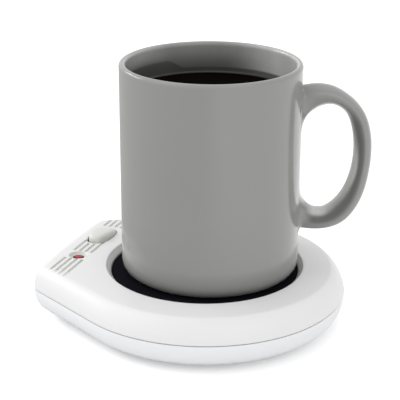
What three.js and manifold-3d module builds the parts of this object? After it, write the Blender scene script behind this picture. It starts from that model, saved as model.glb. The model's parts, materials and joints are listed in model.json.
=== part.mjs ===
// A ceramic mug standing on an electric mug warmer.
// Millimetres, +Z up. The origin is on the axis of the warming plate, at the flat underside of the
// base. The control panel is on the -X side, and the cord inlet is at the back, on the +Y side.

import * as THREE from 'three';
import { mergeVertices } from 'three/addons/utils/BufferGeometryUtils.js';
import Module from 'manifold-3d';

const wasm = await Module();
wasm.setup();

// Fits shared by the whole assembly
const seatGap = 0.3;
const cutOverrun = 1.5;
const weldTolerance = 0.0005;

// Outline of the base, seen from above at the parting line
const baseRadius = 65.4;
const panelReach = 74;
const panelEndRadius = 500;
const panelCornerRadius = 7.5;
const leastCornerRadius = 0.6;
const sideLineDegrees = 118.7;

// Heights and walls of the two shells
const partingHeight = 12.95;
const shoulderHeight = 23.5;
const panelShoulderHeight = 24.1;
const lipHeight = 24.1;
const partingGap = 0.4;
const shellWall = 2.2;
const shoulderInset = 6.9;
const deckStartShare = 0.175;
const undersideInset = 12;
const shellCurvePower = 1.5;
const panelCurvePower = 2.1;
const panelBlendShares = [0.2, 0.81];
const tongueWall = 1.2;
const tongueHeight = 2;
const tongueSetback = 0.8;

// The well that the plate sits in
const wellFlare = 2.1;
const lipRounding = 0.6;
const wellDepth = 2.6;
const ledgeWidth = 6.2;
const ledgeThickness = 2;

// Warming plate and the heater clamped under it
const plateRadius = 43.4;
const plateThickness = 1.9;
const plateEdgeRounding = 0.5;
const sealThickness = 1;
const sealWidth = 5;
const micaThickness = 0.5;
const upperMicaSetback = 1.6;
const lowerMicaSetback = 1;
const elementThickness = 0.6;
const elementRadiusShare = 0.6;
const elementStripWidth = 2.2;
const elementRows = 9;
const elementTabWidth = 2.4;
const elementTabThickness = 0.8;
const clampPlateThickness = 1;
const clampRimWidth = 5;
const studRadius = 1.5;
const studCount = 3;
const studTail = 1.1;
const nutThickness = 2.4;
const nutAcrossFlats = 5.5;

// Thermal fuse, its sleeve and the clip that holds it to the clamp plate
const fuseRadius = 2;
const fuseLength = 10.5;
const fuseTailRadius = 0.5;
const fuseTailLength = 7;
const sleeveWall = 0.5;
const sleeveLength = 17;
const clipThickness = 0.6;
const clipWidth = 5;
const clipFootLength = 4;

// Rocker switch. Places and lengths along Y are shares of the panel's reach to the side, and widths
// along X are shares of the room between the well and the switch's outer wall.
const switchEndInset = 7.23;
const switchPlaceShare = 0.3466;
const rockerLengthShare = 0.3231;
const rockerWidthShare = 0.3288;
const switchWallShare = 0.0712;
const rockerOvalPower = 2.3;
const rockerTiltDegrees = 7;
const rockerSideGap = 0.45;
const rockerEndGap = 1.2;
const rockerEdgeHeight = 24.9;
const rockerCrown = 0.9;
const rockerEndDrop = 0.55;
const rockerSkirtDepth = 1.7;
const rockerSkirtShare = 0.94;
const rockerDomeShares = [[1, 0], [0.95, 0.5], [0.84, 0.8], [0.6, 0.95], [0.3, 1]];
const rockerStemWallShare = 0.333;
const rockerStemLength = 4;
const pivotHeight = 18.5;
const pivotPinRadius = 1;
const pivotPinSeatShare = 0.75;
const plungerRadius = 1;
const plungerTailLength = 0.9;
const plungerReach = 6.65;
const springWireRadius = 0.2;
const springCoilRadius = 0.72;
const springTurns = 3;
const springTurnSteps = 8;
const springWireSides = 5;
const switchFloor = 1.2;
const switchBottomHeight = 8;
const switchRimDrop = 0.9;
const contactArmLengthShare = 1.2727;
const contactArmWidthShare = 0.6;
const contactArmBendShare = 0.8;
const contactArmThickness = 0.6;
const plungerClearance = 0.15;
const contactPadThickness = 0.5;
const contactPadLength = 3;
const terminalThickness = 0.8;
const terminalWidthShare = 0.533;
const terminalTail = 4.4;

// Pilot lamp, with its radii as shares of the same room
const lampRoomShare = 0.5863;
const lampPlaceShare = 0.4112;
const lampRecessShare = 0.2466;
const lampRecessFloorShare = 0.745;
const lampRecessRimShare = 0.25;
const lampRecessDepth = 1.2;
const lensShare = 0.137;
const lensFlangeShare = 0.2082;
const lensFlangeThickness = 1;
const lensRise = 0.5;
const lampSocketWall = 1;
const lampSocketDepth = 4.6;
const lampHolderLength = 11;
const lampHolderWallShare = 0.21;
const neonLength = 8;
const neonTipRadiusShare = 0.7;
const neonTipDropShare = 0.167;
const neonPinShare = 0.167;
const neonPinLength = 2;
const neonPinSpacingShare = 0.917;
const resistorRadius = 1.2;
const resistorLengthShare = 0.294;
const resistorEndShare = 0.55;

// Decorative grooves of the panel
const grooveCount = 4;
const groovePitch = 2.97;
const grooveSetback = 10.85;
const grooveRadius = 0.65;
const grooveDepth = 0.6;
const grooveEndInset = 5.5;
const grooveLampClearance = 4.5;
const grooveSwitchClearance = 1.3;

// Screws, bosses and feet. A boss takes a share of the room between the well and the tongue.
const bossShare = 0.235;
const screwShankShare = 0.403;
const screwHeadShare = 0.778;
const screwHeadThickness = 2;
const screwHeadTaperShare = 0.8;
const screwLength = 12;
const screwRecessDepth = 3.2;
const screwSlotWidthShare = 0.32;
const screwSlotLengthShare = 1.3;
const screwSlotDepth = 1;
const bossFootHeight = 6.2;
const footRadius = 5;
const footHeight = 2;
const footRecessDepth = 0.6;
const footEdgeRounding = 0.5;
const footMargin = 4.1;
const floorRibHeight = 1.8;
const floorRibThickness = 1.2;

// Cord inlet bush, clamped between the shells at the back
const bushNeckRadius = 4.5;
const bushBoreRadius = 3.4;
const bushFlangeRadius = 6;
const bushFlangeThickness = 1.4;
const bushNeckLength = 7.1;

// Leads inside the base
const leadRadius = 0.9;
const lampLeadRadius = 0.6;
const leadLift = 3;
const leadBend = 3.6;
const leadStepDiameters = 3;
const lampLeadSwingShare = 0.3;
const spliceRadius = 2.1;
const spliceLength = 7;
const spliceLeadSpacing = 2;
const splicePlaceShares = [0.21, 0.5];
const liveLeadShares = [[-0.2, 0.72], [-0.45, 0.5], [-0.68, 0.24]];
const switchedLeadShares = [[-0.62, 0.16], [-0.34, 0.02]];
const fusedLeadShares = [[0.3, -0.16], [0.1, -0.34]];
const lampReturnShares = [[-0.6, -0.18], [-0.3, -0.1], [0.06, 0.16]];
const fusedLeadDropShare = 1.4;

// The mug
const mugPlateShare = 0.9447;
const mugHeight = 98;
const mugRimWall = 3;
const mugFootWall = 4;
const mugFloor = 6;
const mugFootRounding = 5;
const mugInnerRounding = 7;
const footRingWidth = 3;
const footRingDepth = 1.4;
const mugOffsetShares = [0.2026, 0.3338];
const handleDegrees = 20.3;
const handleReach = 32.2;
const handleWidth = 12.5;
const handleThickness = 8.4;

// How finely the round forms are stepped
const outlineArcSteps = 32;
const outlineLineSteps = 3;
const outlineCornerSteps = 3;
const outlineEndSteps = 5;
const roundSteps = 36;
const mediumRoundSteps = 16;
const smallRoundSteps = 10;
const ovalSteps = 24;
const curveSteps = 5;
const innerCurveSteps = 3;
const lensCurveSteps = 4;
const grooveSides = 8;
const leadSides = 8;
const pinSides = 6;
const nutSides = 6;
const handleStations = 24;
const handleSectionSteps = 12;

// Places of the screws: the turn from the +X axis, and a share of the room that the bosses stand in
const screwPlaces = [
  { degrees: 62, share: 0.267 },
  { degrees: -62, share: 0.267 },
  { degrees: 138, share: 0.5 },
  { degrees: -138, share: 0.5 },
];

// Places of the feet: the front pair by the base radius, the rear pair by the panel's reach
const frontFootShares = [0.64, 0.37];
const rearFootShare = 0.526;

// Handle stations: reach out of the wall as a share of the handle's reach, height as a share of the
// mug's height, then thickness and width as shares of the handle's own
const handleShares = [
  [-0.06, 0.812, 1.9, 1.2],
  [0.03, 0.828, 1.52, 1.12],
  [0.169, 0.845, 1.29, 1.05],
  [0.3, 0.851, 1.1, 1],
  [0.42, 0.847, 0.94, 1],
  [0.55, 0.829, 0.8, 1],
  [0.687, 0.793, 0.8, 1],
  [0.788, 0.74, 0.91, 1],
  [0.843, 0.681, 0.96, 1],
  [0.869, 0.62, 0.98, 1],
  [0.87, 0.557, 0.99, 1],
  [0.852, 0.496, 1, 1],
  [0.815, 0.435, 1.06, 1],
  [0.756, 0.376, 1.12, 1],
  [0.664, 0.322, 1.21, 1],
  [0.536, 0.276, 1.27, 1],
  [0.364, 0.25, 1.18, 1],
  [0.175, 0.25, 1.23, 1.02],
  [0.05, 0.262, 1.42, 1.1],
  [-0.06, 0.28, 1.75, 1.2],
];

// Heights that follow from the ones above
const sideNormal = new THREE.Vector2(
  Math.cos(THREE.MathUtils.degToRad(sideLineDegrees)),
  Math.sin(THREE.MathUtils.degToRad(sideLineDegrees)),
);
const plateTopHeight = lipHeight - wellDepth;
const plateUnderside = plateTopHeight - plateThickness;
const sealTop = plateUnderside - seatGap;
const ledgeTop = sealTop - sealThickness - seatGap;
const ledgeUnderside = ledgeTop - ledgeThickness;
const wellFloorRadius = plateRadius + seatGap;
const lipRadius = wellFloorRadius + wellFlare;
const ledgeInnerRadius = wellFloorRadius - ledgeWidth;
const upperMicaTop = plateUnderside - seatGap;
const elementTop = upperMicaTop - micaThickness - seatGap;
const lowerMicaTop = elementTop - elementThickness - seatGap;
const clampTop = lowerMicaTop - micaThickness - seatGap;
const clampUnderside = clampTop - clampPlateThickness;
const clampRimTop = ledgeUnderside - seatGap;
const clampRimInnerRadius = ledgeInnerRadius - clampPlateThickness;
const clampDishRadius = clampRimInnerRadius - clampPlateThickness * 2;
const sealOuterRadius = plateRadius - seatGap;
const upperMicaRadius = sealOuterRadius - sealWidth - upperMicaSetback;
const lowerMicaRadius = clampDishRadius - lowerMicaSetback;
const elementRadius = plateRadius * elementRadiusShare;
const studCircleRadius = (elementRadius + lowerMicaRadius) / 2;
const nutTop = clampUnderside - seatGap;
const studEndHeight = nutTop - nutThickness - studTail;
const shellFloorTop = shellWall;
const lowerShellTop = partingHeight - partingGap / 2;
const upperShellBottom = partingHeight + partingGap / 2;
const tongueOuterInset = shellWall + tongueSetback;
const tongueInnerInset = tongueOuterInset + tongueWall;
const panelEndCentreX = panelEndRadius - panelReach;
const mugRadius = plateRadius * mugPlateShare;
const mugFootHeight = plateTopHeight + seatGap;
const [mugOffsetX, mugOffsetY] = mugOffsetShares.map(
  (share) => share * (wellFloorRadius - mugRadius + mugFootRounding),
);
const rockerTilt = THREE.MathUtils.degToRad(rockerTiltDegrees);

// Sizes and places on the panel that follow from its room
const panelSideReach = (baseRadius + sideNormal.x * panelReach) / sideNormal.y;
const switchCentreY = panelSideReach * switchPlaceShare;
const rockerHalfLength = panelSideReach * rockerLengthShare;
const lampCentreY = -panelSideReach * lampPlaceShare;
const rockerFarEnd = switchCentreY + rockerHalfLength;
const panelEndSag = panelEndRadius - Math.sqrt(panelEndRadius ** 2 - rockerFarEnd ** 2);
const switchOuterReach = panelReach - panelEndSag - switchEndInset;
const panelRoom = switchOuterReach - lipRadius - shellWall;
const rockerHalfWidth = panelRoom * rockerWidthShare;
const switchWall = panelRoom * switchWallShare;
const switchCentreX = -(switchOuterReach - rockerHalfWidth - rockerSideGap - switchWall);
const plungerBoreRadius = plungerRadius + seatGap;
const rockerStemSize = 2 * plungerBoreRadius + rockerHalfWidth * rockerStemWallShare;
const contactArmLength = rockerHalfLength * contactArmLengthShare;
const contactArmWidth = rockerHalfWidth * contactArmWidthShare;
const terminalWidth = rockerHalfWidth * terminalWidthShare;
const lampCentreX = -(lipRadius + shellWall + panelRoom * lampRoomShare);
const lampRecessRadius = panelRoom * lampRecessShare;
const lensRadius = panelRoom * lensShare;
const lensFlangeRadius = panelRoom * lensFlangeShare;
const lampHolderWall = lensFlangeRadius * lampHolderWallShare;
const neonRadius = lensFlangeRadius - lampHolderWall - seatGap * 2;
const neonPinRadius = neonRadius * neonPinShare;
const neonPinSpacing = neonRadius * neonPinSpacingShare;

// Screws and feet that follow from the room round the well
const bossInnerEdge = wellFloorRadius + shellWall;
const bossRoom = baseRadius - tongueInnerInset - bossInnerEdge;
const bossRadius = bossRoom * bossShare;
const screwShankRadius = bossRadius * screwShankShare;
const screwHeadRadius = bossRadius * screwHeadShare;
const screwSlotWidth = screwHeadRadius * screwSlotWidthShare;
const screwCentres = screwPlaces.map(({ degrees, share }) => new THREE.Vector2(
  bossInnerEdge + bossRoom * share, 0,
).rotateAround(new THREE.Vector2(), THREE.MathUtils.degToRad(degrees)));
const rearFootX = -(panelReach - undersideInset - footRadius - footMargin);
const footCentres = [1, -1].map((side) => new THREE.Vector2(
  baseRadius * frontFootShares[0], side * baseRadius * frontFootShares[1],
)).concat([1, -1].map((side) => new THREE.Vector2(rearFootX, side * panelSideReach * rearFootShare)));

// Closes up a geometry: shared vertices become one, and triangles that fold to a line are dropped.
function weld(geometry) {
  const bare = geometry.clone();
  for (const name of Object.keys(bare.attributes)) {
    if (name !== 'position') bare.deleteAttribute(name);
  }
  const merged = mergeVertices(bare, weldTolerance);
  const kept = [];
  const index = merged.index.array;
  for (let i = 0; i < index.length; i += 3) {
    const [a, b, c] = [index[i], index[i + 1], index[i + 2]];
    if (a !== b && b !== c && c !== a) kept.push(a, b, c);
  }
  merged.setIndex(kept);
  return merged;
}

// Turns every face round where a closed geometry has come out inside out.
function faceOutward(geometry) {
  const position = geometry.attributes.position;
  const index = Array.from(geometry.index.array);
  const [a, b, c] = [new THREE.Vector3(), new THREE.Vector3(), new THREE.Vector3()];
  let volume = 0;
  for (let i = 0; i < index.length; i += 3) {
    a.fromBufferAttribute(position, index[i]);
    b.fromBufferAttribute(position, index[i + 1]);
    c.fromBufferAttribute(position, index[i + 2]);
    volume += a.dot(b.cross(c));
  }
  if (volume < 0) {
    for (let i = 0; i < index.length; i += 3) {
      [index[i + 1], index[i + 2]] = [index[i + 2], index[i + 1]];
    }
    geometry.setIndex(index);
  }
  return geometry;
}

function toSolid(geometry) {
  const closed = faceOutward(weld(geometry));
  return new wasm.Manifold(new wasm.Mesh({
    numProp: 3,
    vertProperties: new Float32Array(closed.attributes.position.array),
    triVerts: new Uint32Array(closed.index.array),
  }));
}

function toGeometry(solid) {
  const mesh = solid.getMesh();
  const geometry = new THREE.BufferGeometry();
  geometry.setAttribute('position', new THREE.BufferAttribute(new Float32Array(mesh.vertProperties), 3));
  geometry.setIndex(Array.from(mesh.triVerts));
  return geometry;
}

// Joins geometries to a body, then cuts others out of it.
function shape(body, { add = [], cut = [] }) {
  let solid = toSolid(body);
  for (const piece of add) solid = solid.add(toSolid(piece));
  for (const piece of cut) solid = solid.subtract(toSolid(piece));
  return toGeometry(solid);
}

// Skins a list of rings with the same number of points each. Open lists get a fan at each end, and a
// closed list joins its last ring to its first, as a tube bent into a ring does.
function loft(rings, { closed = false } = {}) {
  const count = rings[0].length;
  const points = rings.flat();
  const index = [];
  const bands = closed ? rings.length : rings.length - 1;
  for (let ring = 0; ring < bands; ring += 1) {
    const near = ring * count;
    const far = ((ring + 1) % rings.length) * count;
    for (let i = 0; i < count; i += 1) {
      const next = (i + 1) % count;
      index.push(near + i, near + next, far + next, near + i, far + next, far + i);
    }
  }
  if (!closed) {
    const ends = [{ ring: rings[0], first: 0, turn: true },
      { ring: rings[rings.length - 1], first: points.length - count, turn: false }];
    for (const { ring, first, turn } of ends) {
      const centre = ring.reduce((sum, p) => sum.add(p), new THREE.Vector3()).divideScalar(count);
      const middle = points.length;
      points.push(centre);
      for (let i = 0; i < count; i += 1) {
        const [from, to] = [first + i, first + ((i + 1) % count)];
        index.push(middle, turn ? to : from, turn ? from : to);
      }
    }
  }
  const geometry = new THREE.BufferGeometry();
  const flat = points.flatMap((p) => [p.x, p.y, p.z]);
  geometry.setAttribute('position', new THREE.Float32BufferAttribute(flat, 3));
  geometry.setIndex(index);
  return faceOutward(geometry);
}

// A solid of revolution about Z from pairs of radius and height.
function revolve(profile, steps = roundSteps) {
  const points = profile.map(([radius, height]) => new THREE.Vector2(radius, height));
  return new THREE.LatheGeometry(points, steps).rotateX(Math.PI / 2);
}

function cylinder(radius, bottom, top, steps = smallRoundSteps) {
  return new THREE.CylinderGeometry(radius, radius, top - bottom, steps)
    .rotateX(Math.PI / 2)
    .translate(0, 0, (top + bottom) / 2);
}

function washer(innerRadius, outerRadius, bottom, top, steps = roundSteps) {
  return revolve([
    [innerRadius, bottom], [outerRadius, bottom], [outerRadius, top], [innerRadius, top],
    [innerRadius, bottom],
  ], steps);
}

function block(width, depth, bottom, top) {
  return new THREE.BoxGeometry(width, depth, top - bottom).translate(0, 0, (top + bottom) / 2);
}

// A round tube along a smooth route, in steps of a few of its own diameters.
function tube(route, radius) {
  const curve = new THREE.CatmullRomCurve3(route, false, 'centripetal');
  const section = new THREE.Shape();
  for (let i = 0; i < leadSides; i += 1) {
    const angle = (i / leadSides) * 2 * Math.PI;
    const [x, y] = [radius * Math.cos(angle), radius * Math.sin(angle)];
    if (i === 0) section.moveTo(x, y);
    else section.lineTo(x, y);
  }
  const stepLength = 2 * radius * leadStepDiameters;
  const steps = Math.max(route.length + 2, Math.round(curve.getLength() / stepLength));
  return new THREE.ExtrudeGeometry(section, { extrudePath: curve, steps, bevelEnabled: false });
}

// A point on a quarter of a rounded corner: how far in and how far up it has gone, both from 0 to 1.
function cornerPoint(share, fullness) {
  const angle = share * (Math.PI / 2);
  const power = 2 / fullness;
  return { inward: 1 - Math.cos(angle) ** power, along: Math.sin(angle) ** power };
}

function stepShares(steps) {
  return Array.from({ length: steps + 1 }, (_, i) => i / steps);
}

function cornerCurve(steps) {
  return stepShares(steps).map((share) => cornerPoint(share, shellCurvePower));
}

// Centre of the corner arc that touches a side line and the panel's end arc, on the +Y side.
function cornerCentre(inset, cornerRadius) {
  const lineOffset = baseRadius - inset - cornerRadius;
  const arcOffset = panelEndRadius - inset - cornerRadius;
  const foot = sideNormal.clone().multiplyScalar(lineOffset);
  const along = new THREE.Vector2(-sideNormal.y, sideNormal.x);
  const fromEnd = foot.clone().sub(new THREE.Vector2(panelEndCentreX, 0));
  const half = fromEnd.dot(along);
  const travel = -half + Math.sqrt(half ** 2 - fromEnd.lengthSq() + arcOffset ** 2);
  return foot.addScaledVector(along, travel);
}

// The base outline, moved in by an inset. Every inset gives the same number of points, in the same
// order, so that outlines at several heights can be skinned.
function baseOutline(inset) {
  const cornerRadius = Math.max(panelCornerRadius - inset, leastCornerRadius);
  const centre = cornerCentre(inset, cornerRadius);
  const sideAngle = Math.atan2(sideNormal.y, sideNormal.x);
  const endAngle = Math.atan2(centre.y, centre.x - panelEndCentreX);
  const lineStart = sideNormal.clone().multiplyScalar(baseRadius - inset);
  const lineEnd = centre.clone().addScaledVector(sideNormal, cornerRadius);
  const half = [];
  for (let i = 1; i < outlineLineSteps; i += 1) {
    half.push(lineStart.clone().lerp(lineEnd, i / outlineLineSteps));
  }
  for (let i = 0; i <= outlineCornerSteps; i += 1) {
    const angle = THREE.MathUtils.lerp(sideAngle, endAngle, i / outlineCornerSteps);
    const outward = new THREE.Vector2(Math.cos(angle), Math.sin(angle));
    half.push(outward.multiplyScalar(cornerRadius).add(centre));
  }
  const points = [];
  for (let i = 0; i <= outlineArcSteps; i += 1) {
    const angle = THREE.MathUtils.lerp(-sideAngle, sideAngle, i / outlineArcSteps);
    points.push(new THREE.Vector2(Math.cos(angle), Math.sin(angle)).multiplyScalar(baseRadius - inset));
  }
  points.push(...half);
  for (let i = 1; i < outlineEndSteps; i += 1) {
    const angle = THREE.MathUtils.lerp(endAngle, 2 * Math.PI - endAngle, i / outlineEndSteps);
    points.push(new THREE.Vector2(
      panelEndCentreX + (panelEndRadius - inset) * Math.cos(angle),
      (panelEndRadius - inset) * Math.sin(angle),
    ));
  }
  points.push(...half.map((p) => new THREE.Vector2(p.x, -p.y)).reverse());
  return points;
}

const outlineAngles = baseOutline(0).map((p) => Math.atan2(p.y, p.x));

function outlineRing(inset, height) {
  return baseOutline(inset).map((p) => new THREE.Vector3(p.x, p.y, height));
}

function circleRing(radius, height) {
  return outlineAngles.map((angle) => new THREE.Vector3(
    radius * Math.cos(angle),
    radius * Math.sin(angle),
    height,
  ));
}

function betweenRings(ringA, ringB, share) {
  return ringA.map((point, i) => point.clone().lerp(ringB[i], share));
}

// How far a place has come from the round front, 0, to the panel, 1.
function panelShareAt(x) {
  const [start, end] = panelBlendShares;
  return THREE.MathUtils.smoothstep(-x, panelReach * start, panelReach * end);
}

function shoulderHeightAt(x) {
  return THREE.MathUtils.lerp(shoulderHeight, panelShoulderHeight, panelShareAt(x));
}

// A ring of the upper shell's wall, between its lowest and its highest inset. At the panel the wall's
// curve is fuller than at the front, and it ends higher.
function upperWallRing(step, insets, drop) {
  return baseOutline(0).map((edge, i) => {
    const fullness = THREE.MathUtils.lerp(shellCurvePower, panelCurvePower, panelShareAt(edge.x));
    const { inward, along } = cornerPoint(step, fullness);
    const { x, y } = baseOutline(THREE.MathUtils.lerp(...insets, inward))[i];
    const top = shoulderHeightAt(edge.x) - drop;
    return new THREE.Vector3(x, y, THREE.MathUtils.lerp(upperShellBottom, top, along));
  });
}

// Height of the panel's top surface at a distance from the axis, along the panel's middle line.
function panelHeightAt(distance) {
  const outer = panelReach - shoulderInset;
  const share = (outer - distance) / (outer - lipRadius - lipRounding);
  return THREE.MathUtils.lerp(panelShoulderHeight, lipHeight, share);
}

function ovalPoints(halfWidth, halfLength, count) {
  const power = 2 / rockerOvalPower;
  return Array.from({ length: count }, (_, i) => {
    const angle = (i / count) * 2 * Math.PI;
    const [c, s] = [Math.cos(angle), Math.sin(angle)];
    return new THREE.Vector2(
      Math.sign(c) * halfWidth * Math.abs(c) ** power,
      Math.sign(s) * halfLength * Math.abs(s) ** power,
    );
  });
}

function ovalPrism(halfWidth, halfLength, bottom, top) {
  const points = ovalPoints(halfWidth, halfLength, ovalSteps);
  return loft([bottom, top].map((height) => points.map((p) => new THREE.Vector3(p.x, p.y, height))));
}

function atCentres(centres, make) {
  return centres.map(({ x, y }) => make().translate(x, y, 0));
}

// Cutter for the round notch that both shells leave for the cord bush.
function bushNotch() {
  const reach = undersideInset;
  return new THREE.CylinderGeometry(
    bushNeckRadius + seatGap, bushNeckRadius + seatGap, reach + cutOverrun, smallRoundSteps,
  ).translate(0, baseRadius - (reach - cutOverrun) / 2, partingHeight);
}

// The grooves of the panel, broken round the lamp and the switch.
function grooveCutters() {
  const cutters = [];
  const rearStart = switchCentreY + rockerHalfLength + rockerEndGap + grooveSwitchClearance;
  for (let i = 0; i < grooveCount; i += 1) {
    const x = -(panelReach - grooveSetback - i * groovePitch);
    const sideEnd = (baseRadius - grooveEndInset - sideNormal.x * x) / sideNormal.y;
    const across = Math.min(Math.abs(x - switchCentreX) / rockerHalfWidth, 1);
    const ovalReach = (rockerHalfLength + rockerEndGap) * Math.sqrt(1 - across ** 2);
    const runs = [
      [-sideEnd, lampCentreY - grooveLampClearance],
      [lampCentreY + grooveLampClearance, switchCentreY - ovalReach - grooveSwitchClearance],
      [rearStart, sideEnd],
    ];
    const axisHeight = panelHeightAt(-x) - grooveDepth + grooveRadius;
    for (const [start, end] of runs) {
      cutters.push(new THREE.CylinderGeometry(grooveRadius, grooveRadius, end - start, grooveSides)
        .translate(x, (start + end) / 2, axisHeight));
    }
  }
  return cutters;
}

// The moulded upper shell: a rounded wall that rises to a crowned top, the well with its ledge for
// the plate, and on the inside the screw bosses and the socket for the pilot lamp.
function topHousingGeometry() {
  const innerShoulder = shoulderInset + seatGap * 2;
  const deckRoom = baseRadius - innerShoulder - bossInnerEdge;
  const deckStartRadius = bossInnerEdge + deckRoom * deckStartShare;
  const lipRing = circleRing(lipRadius + lipRounding, lipHeight);
  const outer = stepShares(curveSteps).map((step) => upperWallRing(step, [0, shoulderInset], 0));
  const inner = stepShares(innerCurveSteps).map(
    (step) => upperWallRing(step, [shellWall, innerShoulder], shellWall),
  ).reverse();
  const skin = loft([
    ...outer,
    betweenRings(outer.at(-1), lipRing, 1 / 2),
    lipRing,
    circleRing(lipRadius, lipHeight - lipRounding),
    circleRing(wellFloorRadius, plateTopHeight),
    circleRing(wellFloorRadius, ledgeTop),
    circleRing(ledgeInnerRadius, ledgeTop),
    circleRing(ledgeInnerRadius, ledgeUnderside),
    circleRing(wellFloorRadius + shellWall, ledgeUnderside),
    circleRing(deckStartRadius, lipHeight - shellWall),
    ...inner,
  ], { closed: true });
  const bossBottom = bossFootHeight + seatGap;
  const bossTop = shoulderHeight - shellWall / 2;
  const bosses = atCentres(screwCentres, () => cylinder(bossRadius, bossBottom, bossTop));
  const screwTip = screwRecessDepth + screwLength;
  const pilots = atCentres(screwCentres, () => cylinder(
    screwShankRadius + seatGap, bossBottom - cutOverrun, screwTip + seatGap,
  ));
  const lampTop = panelHeightAt(-lampCentreX);
  const socketBottom = lampTop - lampSocketDepth - shellWall;
  const socket = cylinder(
    lensFlangeRadius + seatGap + lampSocketWall, socketBottom, lampTop - shellWall / 2,
    mediumRoundSteps,
  ).translate(lampCentreX, lampCentreY, 0);
  const socketBore = cylinder(
    lensFlangeRadius + seatGap, socketBottom - cutOverrun, lampTop - shellWall, mediumRoundSteps,
  ).translate(lampCentreX, lampCentreY, 0);
  const lensHole = cylinder(lensRadius + seatGap, socketBottom, lampTop + cutOverrun, mediumRoundSteps)
    .translate(lampCentreX, lampCentreY, 0);
  const recess = revolve([
    [0, lampTop - lampRecessDepth],
    [lampRecessRadius * lampRecessFloorShare, lampTop - lampRecessDepth],
    [lampRecessRadius, lampTop - lampRecessDepth * lampRecessRimShare],
    [lampRecessRadius, lampTop + cutOverrun],
    [0, lampTop + cutOverrun],
  ], mediumRoundSteps).translate(lampCentreX, lampCentreY, 0);
  const slot = ovalPrism(
    rockerHalfWidth + rockerSideGap,
    rockerHalfLength + rockerEndGap,
    shoulderHeight - shellWall * 2,
    lipHeight + cutOverrun,
  ).translate(switchCentreX, switchCentreY, 0);
  return shape(skin, {
    add: [...bosses, socket],
    cut: [...pilots, socketBore, lensHole, recess, slot, ...grooveCutters(), bushNotch()],
  });
}

// The lower shell: a tray with a tongue that locates inside the upper shell, pillars that the screws
// pull up through, and recesses underneath for the screw heads and the feet.
function baseCoverGeometry() {
  const outer = cornerCurve(curveSteps).map(({ inward, along }) => outlineRing(
    undersideInset * inward,
    THREE.MathUtils.lerp(lowerShellTop, 0, along),
  )).reverse();
  const inner = cornerCurve(innerCurveSteps).map(({ inward, along }) => outlineRing(
    THREE.MathUtils.lerp(tongueInnerInset, undersideInset, inward),
    THREE.MathUtils.lerp(lowerShellTop, shellFloorTop, along),
  ));
  const tongueTop = partingHeight + tongueHeight;
  const tray = loft([
    ...outer,
    outlineRing(tongueOuterInset, lowerShellTop),
    outlineRing(tongueOuterInset, tongueTop),
    outlineRing(tongueInnerInset, tongueTop),
    ...inner,
  ]);
  const pillars = atCentres(screwCentres, () => cylinder(bossRadius, shellFloorTop / 2, bossFootHeight));
  const headRecesses = atCentres(
    screwCentres, () => cylinder(screwHeadRadius + seatGap, -cutOverrun, screwRecessDepth),
  );
  const shankHoles = atCentres(
    screwCentres, () => cylinder(screwShankRadius + seatGap, 0, bossFootHeight + cutOverrun),
  );
  const footRecesses = atCentres(
    footCentres, () => cylinder(footRadius + seatGap, -cutOverrun, footRecessDepth, mediumRoundSteps),
  );
  const ribs = [screwCentres[0], screwCentres[2]].map(({ x, y }) => block(
    floorRibThickness, 2 * y - bossRadius, shellFloorTop / 2, shellFloorTop + floorRibHeight,
  ).translate(x, 0, 0));
  return shape(tray, {
    add: [...pillars, ...ribs],
    cut: [...headRecesses, ...shankHoles, ...footRecesses, bushNotch()],
  });
}

// The round plate with three studs under it.
function hotPlateGeometry() {
  const disc = revolve([
    [0, plateUnderside], [plateRadius, plateUnderside],
    [plateRadius, plateTopHeight - plateEdgeRounding],
    [plateRadius - plateEdgeRounding, plateTopHeight], [0, plateTopHeight],
  ]);
  const studs = atStuds(() => cylinder(studRadius, studEndHeight, plateUnderside + plateThickness / 2));
  return shape(disc, { add: studs });
}

function atStuds(make) {
  return Array.from({ length: studCount }, (_, i) => {
    const angle = Math.PI / 2 + (i / studCount) * 2 * Math.PI;
    return make().translate(studCircleRadius * Math.cos(angle), studCircleRadius * Math.sin(angle), 0);
  });
}

function studHoles(bottom, top) {
  return atStuds(() => cylinder(studRadius + seatGap, bottom - cutOverrun, top + cutOverrun));
}

function micaDiscGeometry(radius, top, extraCuts = []) {
  const bottom = top - micaThickness;
  return shape(cylinder(radius, bottom, top, roundSteps), {
    cut: [...studHoles(bottom, top), ...extraCuts],
  });
}

function elementRowPitch() {
  return (2 * elementRadius) / elementRows;
}

function elementRowY(row) {
  return (row - (elementRows - 1) / 2) * elementRowPitch();
}

function elementRowHalf(row) {
  const edge = Math.abs(elementRowY(row)) + elementStripWidth / 2;
  return Math.sqrt(elementRadius ** 2 - edge ** 2);
}

function rowSide(row) {
  return row % 2 === 0 ? 1 : -1;
}

// Places of the heater's two tabs: the ends of its first and last rows.
function tabPlaces() {
  const last = elementRows - 1;
  const reach = (row) => elementRowHalf(row) - elementTabWidth / 2;
  return [
    [-reach(0), elementRowY(0)],
    [rowSide(last) * reach(last), elementRowY(last)],
  ];
}

// One unbroken strip that runs to and fro across the plate, with a tab down at each end.
function heatingElementGeometry() {
  const bottom = elementTop - elementThickness;
  const rows = [];
  const links = [];
  for (let row = 0; row < elementRows; row += 1) {
    const half = elementRowHalf(row);
    rows.push(block(2 * half, elementStripWidth, bottom, elementTop).translate(0, elementRowY(row), 0));
    if (row < elementRows - 1) {
      const reach = Math.min(half, elementRowHalf(row + 1));
      links.push(block(elementStripWidth, elementRowPitch(), bottom, elementTop).translate(
        rowSide(row) * (reach - elementStripWidth / 2),
        (elementRowY(row) + elementRowY(row + 1)) / 2,
        0,
      ));
    }
  }
  const tabs = tabPlaces().map(([x, y]) => block(
    elementTabWidth, elementTabThickness, nutTop - nutThickness, elementTop - elementThickness / 2,
  ).translate(x, y, 0));
  return shape(rows[0], { add: [...rows.slice(1), ...links, ...tabs] });
}

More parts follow.
